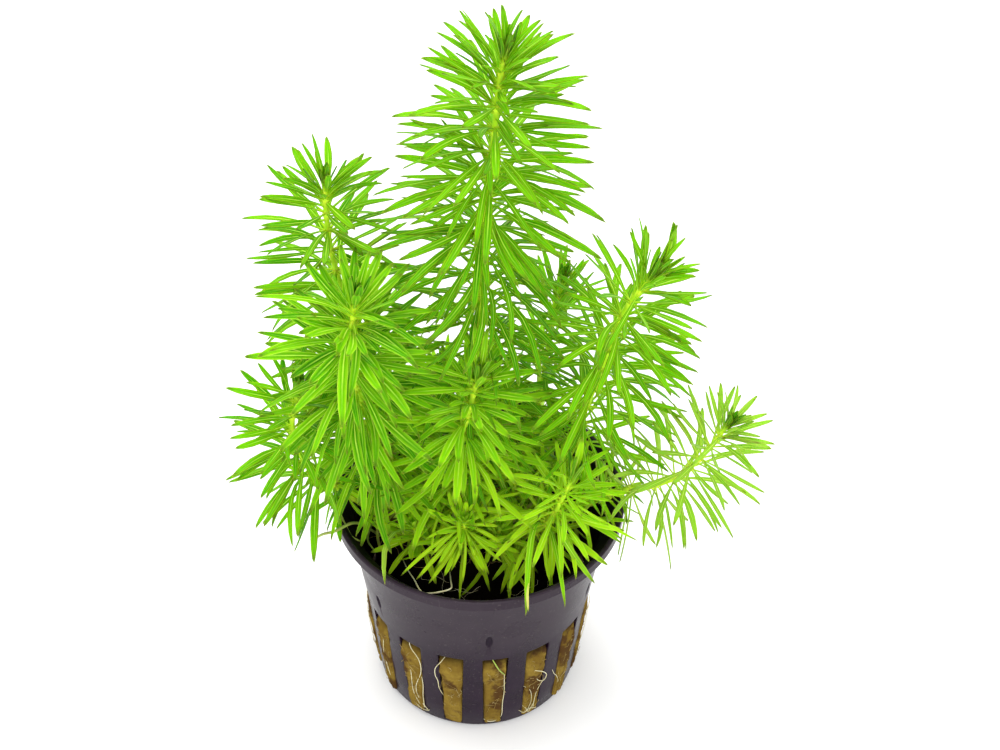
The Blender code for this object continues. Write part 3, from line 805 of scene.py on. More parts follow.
# %% Camera
CAMERA_PLACE = Vector((4.1, -248.2, 301.3)) * MM
CAMERA_DOWN, CAMERA_YAW, CAMERA_ROLL = (math.radians(a) for a in (42.71, -0.20, 1.28))
level_share = math.cos(CAMERA_DOWN)
CAMERA_AHEAD = Vector((
    math.sin(CAMERA_YAW) * level_share, math.cos(CAMERA_YAW) * level_share, -math.sin(CAMERA_DOWN)
))
level = CAMERA_AHEAD.cross(Vector((0, 0, 1))).normalized()
upward = level.cross(CAMERA_AHEAD)
CAMERA_RIGHT = math.cos(CAMERA_ROLL) * level + math.sin(CAMERA_ROLL) * upward
CAMERA_TOP = -math.sin(CAMERA_ROLL) * level + math.cos(CAMERA_ROLL) * upward
lens = bpy.data.cameras.new("camera")
lens.lens, lens.sensor_width = 72, 36
lens.clip_start, lens.clip_end = 0.01, 20
camera = bpy.data.objects.new("camera", lens)
turned = Matrix((CAMERA_RIGHT, CAMERA_TOP, -CAMERA_AHEAD)).transposed().to_4x4()
camera.matrix_world = Matrix.Translation(CAMERA_PLACE) @ turned
bpy.context.collection.objects.link(camera)
bpy.context.scene.camera = camera

# %% [markdown]
# ## Leaves read from the photograph
#
# The longest leaves draw the plant's outline, so these are not left to chance either. Each one's foot, tip
# and width were read off the photograph, in pixels. A pixel gives only a direction from the camera,
# so the depth is worked out here: the foot lies on its stem, and the tip comes towards the camera until the
# leaf has its length. How much longer a leaf is than the shortest that fits its pixels is a guess.

# %% Leaves seen in the photograph
LEAVES_SEEN = {  # in pixels: foot x and y, tip x and y, and width. Last, length over the shortest that fits
    "stem_main": (
        (500, 62, 502, 4, 5.5, 1.2), (502, 66, 523, 9, 6, 1.15), (503, 70, 541, 19, 5, 1.1),
        (504, 74, 545, 23, 6, 1.1), (504, 78, 554, 33, 5, 1.08), (504, 82, 575, 33, 7, 1.06),
        (503, 88, 560, 57, 5.5, 1.05), (498, 62, 484, 11, 5, 1.2), (497, 72, 461, 8, 2, 1.1),
        (497, 74, 457, 19, 4, 1.1), (497, 77, 465, 20, 3.5, 1.1), (496, 82, 436, 31, 6, 1.06),
        (495, 86, 453, 33, 6, 1.08), (495, 90, 426, 47, 5, 1.05), (494, 94, 420, 58, 6, 1.04),
        (495, 108, 426, 70, 8, 1.03), (494, 113, 416, 111, 5.5, 1.03), (499, 95, 590, 74, 6, 1.03),
        (498, 113, 565, 95, 7, 1.03), (499, 113, 591, 124, 6.5, 1.03), (494, 135, 604, 128, 8, 1.03),
        (492, 145, 592, 150, 7.5, 1.03), (490, 165, 596, 163, 8, 1.03), (488, 158, 409, 118, 6, 1.03),
        (487, 158, 396, 124, 7, 1.03), (491, 135, 396, 145, 6.5, 1.03), (486, 178, 393, 157, 7.5, 1.03),
        (485, 185, 394, 144, 5.5, 1.03), (487, 180, 440, 118, 6, 1.06), (487, 165, 461, 118, 5, 1.08),
        (484, 213, 388, 185, 6.5, 1.03), (487, 168, 418, 197, 5.5, 1.03), (485, 192, 381, 214, 7.5, 1.03),
        (486, 190, 408, 223, 6, 1.04), (484, 232, 378, 232, 9, 1.03), (484, 225, 385, 242, 6, 1.04),
        (484, 218, 398, 262, 7, 1.04), (489, 172, 587, 193, 6.5, 1.03), (488, 190, 576, 212, 7.5, 1.03),
        (488, 197, 606, 223, 9, 1.03), (487, 216, 603, 262, 8, 1.03), (486, 238, 375, 318, 7.5, 1.04),
        (486, 205, 520, 175, 6, 1.1), (487, 215, 545, 285, 7, 1.08), (486, 228, 430, 300, 7, 1.08),
        (486, 235, 560, 300, 8, 1.05), (486, 262, 560, 330, 8, 1.05), (485, 262, 425, 345, 7, 1.06),
        (484, 285, 440, 385, 7, 1.08), (484, 285, 540, 380, 7, 1.08), (497, 118, 512, 143, 8, 1.5),
        (493, 142, 491, 196, 8, 1.15), (498, 88, 556, 93, 8, 1.1), (485, 232, 489, 292, 8, 1.12),
    ),
    "stem_back_left": (
        (324, 185, 312, 133, 5, 1.15), (322, 190, 301, 143, 4.5, 1.12), (320, 194, 294, 147, 4, 1.12),
        (319, 196, 285, 164, 4, 1.1), (318, 198, 283, 178, 6, 1.1), (332, 192, 362, 157, 6, 1.1),
        (334, 194, 372, 156, 7, 1.08), (334, 198, 384, 170, 7, 1.06), (335, 202, 383, 184, 5.5, 1.05),
        (321, 202, 264, 182, 5, 1.04), (321, 206, 259, 196, 7, 1.03), (324, 220, 260, 227, 7, 1.03),
        (333, 224, 395, 198, 6, 1.04), (335, 240, 388, 220, 5.5, 1.05), (326, 245, 258, 245, 5, 1.04),
        (327, 248, 257, 251, 5, 1.04), (332, 262, 252, 264, 6, 1.03), (335, 284, 252, 287, 7, 1.03),
        (335, 296, 254, 295, 7, 1.03), (337, 285, 400, 245, 7, 1.05), (330, 215, 395, 232, 6, 1.05),
        (327, 202, 355, 230, 9, 1.3), (328, 228, 364, 256, 9, 1.25), (331, 250, 366, 269, 8, 1.25),
        (334, 272, 338, 322, 7, 1.15),
    ),
    "stem_right": (
        (638, 288, 638, 216, 2.5, 1.1), (638, 287, 645, 224, 5, 1.1), (645, 278, 630, 231, 4, 1.12),
        (656, 268, 674, 222, 7, 1.15), (657, 268, 678, 224, 6, 1.15), (655, 272, 686, 237, 5, 1.1),
        (655, 275, 686, 256, 4.5, 1.06), (652, 280, 702, 263, 3.5, 1.05), (648, 283, 700, 270, 6, 1.04),
        (645, 287, 697, 277, 5, 1.04), (642, 292, 692, 306, 8, 1.04), (633, 294, 612, 244, 4.5, 1.06),
        (627, 302, 592, 232, 5, 1.04), (630, 306, 709, 328, 7, 1.03), (630, 312, 703, 342, 6, 1.03),
        (625, 318, 681, 343, 7, 1.05), (620, 330, 688, 370, 6, 1.04), (615, 343, 699, 374, 7.5, 1.03),
        (612, 350, 693, 387, 5.5, 1.03), (605, 372, 694, 385, 7, 1.03), (604, 388, 690, 411, 6, 1.03),
        (610, 352, 660, 350, 5, 1.1), (619, 322, 594, 398, 7, 1.15), (620, 340, 621, 384, 6, 1.3),
        (642, 296, 604, 352, 6, 1.2),
    ),
    "stem_far_right": (
        (720, 432, 709, 384, 4, 1.06), (722, 430, 717, 391, 4.5, 1.08), (726, 426, 725, 391, 3, 1.1),
        (728, 424, 738, 384, 5, 1.08), (730, 426, 756, 398, 5, 1.06), (731, 428, 752, 415, 5.5, 1.06),
        (730, 431, 768, 414, 6, 1.04), (727, 435, 761, 437, 5, 1.04), (724, 438, 776, 444, 7, 1.03),
        (722, 440, 752, 466, 3, 1.05), (718, 443, 760, 478, 6, 1.04), (700, 458, 747, 494, 6, 1.04),
        (697, 462, 741, 506, 5, 1.04), (692, 466, 729, 505, 4.5, 1.05), (684, 472, 722, 529, 5, 1.04),
        (678, 476, 718, 534, 5, 1.03), (672, 480, 696, 542, 6.5, 1.04), (667, 483, 682, 550, 5, 1.04),
        (660, 485, 671, 550, 3.5, 1.04), (652, 488, 656, 549, 5, 1.04), (708, 448, 688, 398, 6, 1.04),
        (704, 452, 700, 410, 4, 1.08), (694, 458, 671, 413, 4.5, 1.04), (682, 468, 652, 423, 4, 1.04),
        (663, 478, 654, 420, 4, 1.05), (720, 440, 739, 435, 4, 1.2), (722, 434, 690, 466, 5.7, 1.2),
        (690, 463, 628, 491, 6.8, 1.05),
    ),
    "stem_far_left": (
        (291, 400, 225, 387, 8, 1.03), (293, 396, 246, 382, 6, 1.05), (290, 418, 230, 425, 6, 1.03),
        (290, 424, 229, 438, 6, 1.03), (291, 438, 245, 448, 8, 1.05), (292, 447, 232, 477, 7.5, 1.03),
        (295, 456, 236, 483, 6, 1.03), (298, 462, 266, 499, 6, 1.05), (300, 466, 264, 527, 7, 1.03),
        (302, 470, 272, 528, 7, 1.03), (304, 474, 292, 547, 6, 1.04), (307, 478, 298, 538, 7, 1.06),
        (330, 492, 340, 543, 6, 1.08), (315, 480, 313, 563, 8, 1.04),
    ),
    "stem_front_left": (
        (351, 312, 339, 258, 8, 1.12), (356, 308, 370, 250, 6.5, 1.12), (357, 310, 393, 262, 8, 1.08),
        (349, 316, 254, 296, 6.5, 1.03), (347, 322, 262, 318, 7, 1.03), (346, 328, 298, 333, 9, 1.06),
        (350, 319, 343, 430, 9.5, 1.06), (356, 321, 350, 398, 9, 1.08), (347, 345, 290, 379, 9.5, 1.04),
        (357, 318, 425, 350, 8, 1.05), (357, 326, 418, 370, 8, 1.05), (357, 340, 405, 392, 7, 1.06),
        (356, 310, 400, 328, 8, 1.06), (352, 360, 398, 420, 7, 1.08), (352, 372, 315, 430, 8, 1.08),
        (358, 395, 335, 465, 7.5, 1.06), (362, 400, 375, 470, 8, 1.08), (360, 385, 420, 440, 8, 1.05),
        (365, 420, 395, 490, 7, 1.06),
    ),
    "stem_centre": (
        (470, 376, 459, 330, 6, 1.1), (472, 374, 474, 322, 6, 1.12), (474, 374, 487, 328, 6, 1.1),
        (475, 375, 497, 338, 5, 1.08), (477, 372, 497, 361, 7, 1.1), (477, 374, 505, 359, 4, 1.1),
        (474, 380, 540, 370, 9, 1.03), (466, 378, 410, 361, 6, 1.04), (466, 382, 414, 373, 6, 1.04),
        (464, 386, 398, 393, 7, 1.03), (473, 390, 540, 401, 7.5, 1.03), (472, 404, 511, 438, 7.5, 1.04),
        (471, 410, 508, 457, 7.5, 1.05), (470, 414, 488, 464, 5.5, 1.08), (464, 408, 402, 433, 5.5, 1.03),
        (463, 416, 415, 445, 6, 1.04), (462, 438, 457, 486, 6, 1.1), (464, 440, 464, 498, 7, 1.08),
        (466, 445, 475, 505, 7, 1.06), (460, 440, 430, 500, 7, 1.05), (462, 450, 500, 520, 6, 1.04),
    ),
    "stem_right_front": (
        (575, 488, 621, 484, 6.5, 1.05), (566, 514, 625, 531, 6, 1.04), (562, 522, 621, 544, 6, 1.04),
        (555, 538, 605, 563, 5.5, 1.13), (573, 498, 638, 541, 3.5, 1.03), (560, 524, 576, 579, 5, 1.13),
        (551, 530, 549, 583, 7, 1.08), (541, 544, 506, 591, 6, 1.06), (532, 548, 491, 580, 5, 1.06),
        (530, 552, 500, 594, 5, 1.06), (558, 512, 507, 544, 6, 1.05), (566, 490, 507, 474, 5, 1.05),
        (560, 497, 513, 488, 5, 1.08), (568, 488, 533, 509, 5, 1.1), (551, 512, 501, 521, 5, 1.05),
        (581, 473, 611, 450, 5, 1.1), (574, 473, 573, 456, 6, 1.4), (577, 469, 583, 437, 6, 1.3),
        (570, 476, 551, 473, 4, 1.3), (565, 503, 590, 537, 6, 1.1), (572, 496, 582, 516, 5, 1.2),
        (576, 500, 614, 501, 4, 1.08), (579, 492, 624, 498, 5, 1.06),
    ),
    "shoot_front": (
        (463, 527, 462, 584, 4, 1.06), (464, 527, 480, 574, 5, 1.06), (465, 528, 489, 575, 5, 1.05),
        (462, 528, 450, 572, 3.5, 1.08), (466, 525, 502, 543, 5, 1.08), (466, 527, 503, 563, 4, 1.06),
        (461, 527, 437, 566, 4.5, 1.08), (460, 528, 429, 584, 5.5, 1.04), (459, 527, 416, 580, 5.5, 1.04),
        (459, 526, 400, 575, 5, 1.03), (459, 525, 425, 540, 4, 1.1), (460, 522, 440, 516, 3.5, 1.15),
        (466, 522, 487, 514, 4, 1.15), (467, 524, 500, 526, 4, 1.1), (461, 521, 450, 505, 3.5, 1.15),
        (464, 521, 474, 503, 3.5, 1.15), (460, 526, 430, 556, 4, 1.08),
    ),
}
THINNER = {"stem_far_right": 0.88, "shoot_front": 0.85}  # these stems' leaves are taken thinner than read

# %% From pixels to places
PHOTO_WIDTH, PHOTO_HEIGHT = 1000, 750
FOCAL_PIXELS = PHOTO_WIDTH * lens.lens / lens.sensor_width
EYE, AHEAD, RIGHT, TOP = (np.array(v) for v in (CAMERA_PLACE, CAMERA_AHEAD, CAMERA_RIGHT, CAMERA_TOP))
ROUTE_SAMPLES = 600
UP_SAMPLES = 3  # the stem's direction is measured over this many samples each way
WINDOW = Vector((0, -0.6, 0.8))  # where the light comes from
WINDOW_PULL = 0.8  # how strongly a blade turns to it
BROADEST = 2.15  # mm


def towards_window(inner, natural):
    """The upper side of a leaf that runs along inner: a leaf turns its blade a little to the light."""
    upper = natural + (WINDOW_PULL if natural.dot(WINDOW) > -0.3 else -WINDOW_PULL) * WINDOW
    return (upper - inner * upper.dot(inner)).normalized()


def in_photo(places):
    """Where places show in the photograph, in pixels across and down, and how deep they lie."""
    away = places - EYE
    depth = away @ AHEAD
    across, down = (away @ way * FOCAL_PIXELS / depth for way in (RIGHT, -TOP))
    return np.array((PHOTO_WIDTH / 2 + across, PHOTO_HEIGHT / 2 + down, depth))


def through_pixel(x, y):
    """The direction from the camera through a pixel."""
    sight = AHEAD + (RIGHT * (x - PHOTO_WIDTH / 2) - TOP * (y - PHOTO_HEIGHT / 2)) / FOCAL_PIXELS
    return sight / np.linalg.norm(sight)


def square_length(side, run):
    """Length of one shift in the photograph, measured square to another."""
    return abs(side[0] * run[1] - side[1] * run[0]) / math.hypot(run[0], run[1])


def read_leaves(name):
    """Distance below the bud, tip and width of every leaf seen on a stem, to a tenth of a millimetre."""
    route = ROUTES[name]
    distances = np.linspace(0, route.length, ROUTE_SAMPLES)
    line = np.array([route.at(distance)[0] for distance in distances])
    shown = in_photo(line)
    leaves = []
    for foot_x, foot_y, tip_x, tip_y, seen_width, lean in LEAVES_SEEN[name]:
        i = int(np.hypot(shown[0] - foot_x, shown[1] - foot_y).argmin())
        base, below = line[i], route.length - distances[i]
        sight = through_pixel(tip_x, tip_y)
        beside = EYE + sight * ((base - EYE) @ sight)
        tip = beside - sight * np.linalg.norm(beside - base) * math.sqrt(lean * lean - 1)
        up = Vector(line[min(i + UP_SAMPLES, ROUTE_SAMPLES - 1)] - line[max(i - UP_SAMPLES, 0)]).normalized()
        inner = Vector(tip - base).normalized()
        outward = (inner - up * inner.dot(up)).normalized()
        natural = (up * inner.dot(outward) - outward * inner.dot(up)).normalized()
        across = towards_window(inner, natural).cross(inner)
        # a blade seen at a slant shows less of its width
        widest = base + WIDEST_AT * (tip - base)
        side, run = (in_photo(widest + MM * np.array(way)) - in_photo(widest) for way in (across, inner))
        pixels = FOCAL_PIXELS * MM / shown[2][i]  # to a millimetre
        slant = max(square_length(side, run) / pixels, 0.5)
        width = min(seen_width * THINNER.get(name, 1) / pixels / slant, BROADEST)
        share = width * MM / (2 * LEAF_HALF_WIDTH) / fullness(below / AGE_LENGTH)
        below, *tip = (round(float(v / MM), 1) for v in (below, *tip))
        leaves.append((below, *tip, round(float(share), 2)))
    return leaves


# %% Leaves placed from their tips
def placed_leaf(route, below, tip, width, chance):
    """A leaf from its foot on the stem to a given tip, bowed a little upwards."""
    centre, up = route.at(route.length - below)
    outward = tip - centre
    outward = (outward - up * outward.dot(up)).normalized()
    base = centre + LEAF_FOOT * outward
    inner = (tip - base).normalized()
    natural = (up * inner.dot(outward) - outward * inner.dot(up)).normalized()
    widest = base.lerp(tip, WIDEST_AT) + 0.05 * (tip - base).length * natural
    upper = towards_window(inner, natural)
    age = below / AGE_LENGTH
    leaf = Leaf(base, widest, tip, upper.cross(inner), upper, width, age, chance.random(), chance)
    leaf.curl, leaf.hook, leaf.age = STILL * leaf.curl, STILL * leaf.hook, max(leaf.age, YOUNGEST)
    leaf.sway, leaf.arch = 1.9 * leaf.sway, 1.4 * leaf.arch
    return leaf


for name in LEAVES_SEEN:
    chance = random.Random("placed " + name)
    for below, *tip, width in read_leaves(name):
        LEAVES[name].append(placed_leaf(ROUTES[name], below * MM, Vector(tip) * MM, width, chance))
print("leaves read from the photograph:", sum(len(rows) for rows in LEAVES_SEEN.values()))

# %% All extra leaves
# The stems below are pushed towards the old leaves' paler colour, partly their own paler colour and partly
# painted light where they lie in the plant's shade.
PALER = {"stem_right_front": 0.85, "stem_far_right": 0.3, "stem_centre": 0.6}  # added to the leaves' age
SHOOT_PALER = 1.2
FAR_RIGHT_DRY = 0.22  # the stem that lies out over the right rim is a little dry all over
for name in STEMS:
    before = len(LEAVES[name])
    LEAVES[name] += bud_leaves(name) + between_leaves(name) + low_leaves(name)
    is_shoot = name.startswith("shoot_")
    paler = SHOOT_PALER if is_shoot else PALER.get(name, 0)
    for leaf in LEAVES[name]:
        if name == "stem_main":  # its older leaves sit deep in the plant's shade and are painted the deepest green of all, a painted shade
            leaf.tint = 0.4 * leaf.tint + 0.6 * min(max((leaf.age - 0.3) / 0.4, 0), 1)
        if name == "stem_far_right" and leaf.age >= YOUNGEST:
            leaf.dry = max(leaf.dry, FAR_RIGHT_DRY)
        if leaf.age >= YOUNGEST or is_shoot:
            leaf.age += paler
    print(f"{name}: {before} leaves from the solid and {len(LEAVES[name]) - before} more")

chance = random.Random("rim leaves")
for name, *form in RIM_LEAVES:
    LEAVES[name].append(rim_leaf(*form, chance))

# %% [markdown]
# ## Laying the leaf along its lines
#
# Each copy of the leaf is bent along a smooth curve through its base, its widest place and its tip. A Curve
# modifier on every copy would do the same slowly, so the bend is worked out for all corners at once. Every
# corner also keeps how far along and across the leaf it is, so that one material can draw the midrib, the
# pale base and the dark tip.

# %% Growing the leaves
model_places = np.array([v.co for v in leaf_model.data.vertices])
model_faces = [tuple(f.vertices) for f in leaf_model.data.polygons]
WIDEST_SHARE = 0.72


def bent_leaf(leaf):
    """The corners of the modelled leaf, laid along this leaf's line."""
    t = model_places[:, 0] / LEAF_LENGTH
    base, widest, tip = (np.array(p) for p in (leaf.base, leaf.widest, leaf.tip))
    m = WIDEST_SHARE
    pull = (widest - (1 - m) ** 2 * base - m * m * tip) / (2 * m * (1 - m))
    t3 = t[:, None]
    length = np.linalg.norm(tip - base)
    bow = length * (leaf.arch * np.array(leaf.upper) + leaf.sway * np.array(leaf.across))
    bend = length * (leaf.curl * np.array(leaf.upper) + leaf.hook * np.array(leaf.across))
    line = (1 - t3) ** 2 * base + 2 * t3 * (1 - t3) * pull + t3 * t3 * tip
    line += 4 * t3 * (1 - t3) * bow
    line += t3**3 * bend
    heading = 2 * (1 - t3) * (pull - base) + 2 * t3 * (tip - pull) + (4 - 8 * t3) * bow + 3 * t3 * t3 * bend
    heading /= np.linalg.norm(heading, axis=1, keepdims=True)
    upper = np.cross(heading, np.array(leaf.across))
    upper *= np.sign(upper @ np.array(leaf.upper))[:, None]
    upper /= np.linalg.norm(upper, axis=1, keepdims=True)
    across = np.cross(upper, heading)
    turn = leaf.twist * t3
    across, upper = np.cos(turn) * across + np.sin(turn) * upper, np.cos(turn) * upper - np.sin(turn) * across
    width = leaf.width * model_places[:, 1:2]
    height = (0.5 + 0.5 * leaf.width) * model_places[:, 2:3]
    return line + across * width + upper * height


def leaf_mesh(name, leaves, deepness, edge):
    """All leaves of a stem as one mesh, with the values that the green material reads."""
    count = len(model_places)
    places = np.concatenate([bent_leaf(leaf) for leaf in leaves])
    faces = [tuple(i + n * count for i in face) for n in range(len(leaves)) for face in model_faces]
    mesh = bpy.data.meshes.new(name)
    mesh.from_pydata(places.tolist(), [], faces)
    along = model_places[:, 0] / LEAF_LENGTH
    half = np.maximum(np.interp(along, *zip(*[o[:2] for o in LEAF_OUTLINE])), 0.1)
    under = model_places[:, 2] < np.where(np.abs(model_places[:, 1]) < MIDRIB_NEAR, -0.1 * MM, -0.02 * MM)
    keep_values(
        mesh,
        along=np.tile(along, len(leaves)),
        across=np.tile(model_places[:, 1] / (LEAF_HALF_WIDTH * half), len(leaves)),
        underside=np.tile(under, len(leaves)),
        age=np.repeat([leaf.age for leaf in leaves], count),
        tint=np.repeat([leaf.tint * deepness for leaf in leaves], count),
        dry=np.repeat([leaf.dry for leaf in leaves], count),
        stalk=0,
        edge=edge,
    )
    obj = bpy.data.objects.new(name, mesh)
    bpy.context.collection.objects.link(obj)
    return obj


# %% [markdown]
# ## The stems themselves
#
# A stem is a soft, pale, slightly squared rod that swells at each node. A curve with a bevel is the natural
# tool: its radius can change from point to point, and converting it gives a closed tube. The same tool
# makes roots and fibres.

# %% Tubes
STEM_RADIUS, NODE_RADIUS = 0.56 * MM, 0.86 * MM
NODE_REACH = 1.1 * MM  # a node's swelling ends this far from its middle
FOOT_GAP, FOOT_END = 4 * MM, 5 * MM  # between the nodes below the last whorl, and where these stop


def tube(name, lines, sides=8):
    """A mesh tube along each line of (place, radius) pairs. The ends are closed."""
    curve = bpy.data.curves.new(name, "CURVE")
    curve.dimensions = "3D"
    curve.bevel_depth = 1.0
    curve.bevel_resolution = sides // 2 - 2
    curve.use_fill_caps = True
    curve.resolution_u = 1
    for line in lines:
        spline = curve.splines.new("POLY")
        spline.points.add(len(line) - 1)
        for point, (place, radius) in zip(spline.points, line):
            point.co = (*place, 1)
            point.radius = radius
    obj = bpy.data.objects.new(name, curve)
    bpy.context.collection.objects.link(obj)
    select_only(obj)
    bpy.ops.object.convert(target="MESH")
    obj = bpy.context.object
    obj.name = obj.data.name = name
    bpy.ops.object.shade_smooth_by_angle(angle=math.radians(60))
    return obj


def stem_tube(name):
    """A stem's rod, thin between the nodes, narrowed into the bud."""
    route = ROUTES[name]
    nodes = [route.length - below for below in whorl_distances(STEMS[name][1])]
    lower = nodes[-1] - FOOT_GAP
    while lower > FOOT_END:
        nodes.append(lower)
        lower -= FOOT_GAP
    samples = sorted({0.0, route.length} | {n + k * MM for n in nodes for k in (-1.1, -0.45, 0, 0.45, 1.1)})
    line = []
    for distance in samples:
        if not 0 <= distance <= route.length:
            continue
        near = min(abs(distance - n) for n in nodes) / NODE_REACH
        radius = STEM_RADIUS + (NODE_RADIUS - STEM_RADIUS) * max(0, 1 - near) ** 1.4
        below = (route.length - distance) / MM
        radius *= min(1, 0.35 + below / 7) * min(1, 0.8 + 0.2 * below / 30) * (0.62 + 0.38 * STEMS[name][4])
        line.append((route.at(distance)[0], radius))
    rod = tube(name + "_rod", [line])
    places = [v.co for v in rod.data.vertices]
    distances = np.array([route.nearest(p) for p in places])
    nearness = [max(0, 1 - min(abs(d - n) for n in nodes) / (2 * MM)) for d in distances]
    ages = (route.length - distances) / AGE_LENGTH
    keep_values(rod.data, along=0, across=0.5, underside=0, age=ages, tint=nearness, dry=0, stalk=1, edge=0)
    return rod


FREE_STEMS = (  # those that stand in full light, whose leaves have brown margins
    "stem_main", "stem_right", "stem_far_right", "stem_back_left", "stem_far_left", "stem_back_right",
)
greens = []
for name in STEMS:
    foliage = leaf_mesh(name + "_foliage", LEAVES[name], STEMS[name][5], float(name in FREE_STEMS))
    select_only(foliage)
    bpy.ops.object.shade_smooth_by_angle(angle=math.radians(60))
    greens.append(join([stem_tube(name), foliage], "leafy_" + name))
bpy.data.objects.remove(leaf_model)
print("green pieces:", len(greens), "with", sum(len(p.data.polygons) for p in greens), "faces")

# %% [markdown]
# ## Roots
#
# Thin white roots have found their way out of the wool and run down the slots, and one long root loops
# inside the front rim. Each is a tube along a listed line. On the wall a place is easiest to give as
# degrees from the pot's front, a height, and how far it stands off the wall.

# %% Roots in the slots
ROOTS_ON_WALL = (  # radius in mm, then (degrees, height in mm, stand-off in mm) from top to bottom
    (0.08, ((-38.5, 22.6, -1.4), (-35, 20.6, -0.2), (-29.6, 18.4, 0.2), (-28.9, 14.7, 0.3), (-33.3, 9, 0.3),
           (-32.2, 5.4, 0.3), (-27.8, 2.4, 0.1), (-27, 1.8, -0.3))),
    (0.08, ((-30, 13, -0.2), (-28.7, 10.6, 0.2), (-29.3, 6.8, 0.3), (-29.6, 3.2, 0.2), (-31, 1.9, -0.2))),
    (0.06, ((-37.6, 17.4, -0.2), (-35.6, 12.9, 0.3), (-35.8, 7, 0.3), (-32.7, 3.3, 0.2),
           (-31.5, 1.8, -0.2))),
    (0.08, ((-37.2, 2.9, 0), (-32.3, 2.1, 0.3), (-27.4, 2.2, 0.2), (-26.8, 2.4, -0.2))),
    (0.08, ((-15.5, 21.2, -0.6), (-17, 20.4, 0.2), (-19.9, 18.3, 0.5), (-20.3, 16, 0.5), (-19.2, 14.2, 0.4),
           (-19, 12, 0.3), (-18, 10.2, 0.1), (-17.4, 8.6, -0.4))),
    (0.08, ((14.9, 17.4, 0.1), (15.1, 14.1, 0.4), (15.3, 11.4, 0.4), (15, 7.8, 0.3), (15.2, 3.8, 0.2),
           (14.2, 1.9, -0.2))),
    (0.08, ((4.6, 2.4, -0.2), (8.6, 1.9, 0.3), (14.9, 1.8, 0.1))),
    (0.08, ((30.8, 15.9, -0.2), (32, 15.5, 0.4), (35.9, 14.6, 0.8), (38.6, 13, 0.9), (37.7, 11.4, 0.8),
           (35, 11.6, 0.5), (33.4, 12.6, 0))),
    (0.07, ((37.7, 11.6, 0.7), (34.8, 8.4, 0.5), (34.2, 5.2, 0.4), (34.3, 2.5, 0.3), (35, 1.6, -0.2))),
    (0.06, ((25.9, 11.4, -0.1), (30.5, 9.4, 0.4), (32.1, 5.7, 0.4), (30.9, 3, 0.3), (29.8, 1.8, -0.1))),
    (0.07, ((25.2, 3.3, -0.1), (28.4, 2.4, 0.4), (32, 3.2, 0.5), (36.5, 1.9, 0.3), (37.4, 2.2, -0.2))),
    (0.06, ((27.5, 4.5, 0), (29.4, 3.6, 0.5), (31.2, 2.2, 0.5), (33.6, 4, 0.4), (35.6, 3.6, 0))),
    (0.06, ((45.5, 11.6, -0.1), (46.6, 10.1, 0.3), (49.2, 8.5, 0.4), (52.2, 5.5, 0.3), (50.4, 3.6, 0))),
    (0.06, ((76, 22.6, 0.1), (77.2, 20.6, 0.5), (76.4, 16, 0.6), (78.8, 11, 0.6), (77.6, 5, 0.2))),
    (0.06, ((-80.5, 20.6, 0.1), (-79, 16.4, 0.6), (-80.8, 11.4, 0.7), (-79.2, 5.8, 0.5), (-80, 2.2, 0))),
    (0.08, ((-58.5, 21.4, -0.8), (-56.5, 16.8, 0.1), (-58.4, 11.6, 0.3), (-56.8, 6.4, 0.3),
           (-55.6, 2.2, 0))),
    (0.08, ((147, 21, -0.8), (144.6, 17, 0.2), (146.6, 12, 0.4), (144.8, 6.2, 0.4), (146.4, 2, 0))),
    (0.07, ((-171, 19.6, -0.4), (-169, 15.4, 0.3), (-171.2, 9.8, 0.4), (-169.6, 4.2, 0.2),
           (-170.2, 1.9, -0.1))),
    (0.07, ((-126, 20.4, -0.6), (-124, 15, 0.3), (-125.6, 9.6, 0.4), (-123.6, 4.8, 0.3), (-124.4, 2, 0))),
    (0.07, ((100, 20, -0.6), (101.8, 15.2, 0.3), (99.8, 10.2, 0.4), (101.4, 4.6, 0.3), (100.6, 2, 0))),
)


def on_wall(turn, height, lift):
    """A place on the pot's outer wall: degrees from the front, height and stand-off in millimetres."""
    radius = wall_radius(height * MM) + lift * MM
    turn = math.radians(turn)
    return Vector((radius * math.sin(turn), -radius * math.cos(turn), height * MM))


def heading_by_chance(chance, *ranges):
    """A direction with one range for each of x, y and z. It is not of unit length."""
    return Vector([chance.uniform(*ends) for ends in ranges])


def tapered(points, radius, end_share=0.55):
    """A smooth line through the points, as (place, radius) pairs that thin towards both ends."""
    line = smooth_line(points, 6)
    swell = [math.sin(math.pi * i / (len(line) - 1)) ** 0.5 for i in range(len(line))]
    return [(p, radius * (end_share + (1 - end_share) * full)) for p, full in zip(line, swell)]


roots = tube(
    "slot_roots",
    [tapered([on_wall(*p) for p in points], radius * MM) for radius, points in ROOTS_ON_WALL],
    6,
)

# %% Root inside the rim, and hairs
ROOT_RIM = (
    (-13.3, -7.8, 33.6), (-12.3, -12.5, 36.6), (-10.9, -16.8, 38.9), (-10.2, -19.6, 40.6),
    (-9.7, -21.2, 41.3), (-8.9, -22.2, 41.5), (-7.4, -22.2, 41.5), (-5.8, -21.8, 41.5), (-4.6, -21.2, 41.4),
    (-4.2, -20.3, 41.1), (-4.5, -17, 39.2), (-4.8, -12.5, 36), (-4.9, -10.6, 33.4),
)
rim_root_line = tapered([Vector(p) * MM for p in ROOT_RIM], 0.15 * MM, 0.7)
HAIRS = 24
chance = random.Random("hairs")
hairs = []
for _ in range(HAIRS):
    turn = math.radians(chance.uniform(-42, 48))
    radius = chance.uniform(14.5, 19.5) * MM
    place = Vector((radius * math.sin(turn), -radius * math.cos(turn), chance.uniform(30, 36) * MM))
    heading = heading_by_chance(chance, (-1, 1), (-1, 0.4), (-0.1, 1.2)).normalized()
    points = [place]
    for _ in range(4):
        heading = (heading + heading_by_chance(chance, *[(-0.6, 0.6)] * 3)).normalized()
        points.append(points[-1] + heading * chance.uniform(0.7, 1.5) * MM)
    if clears_pot(*points):
        hairs.append(tapered(points, chance.uniform(0.022, 0.042) * MM, 0.4))
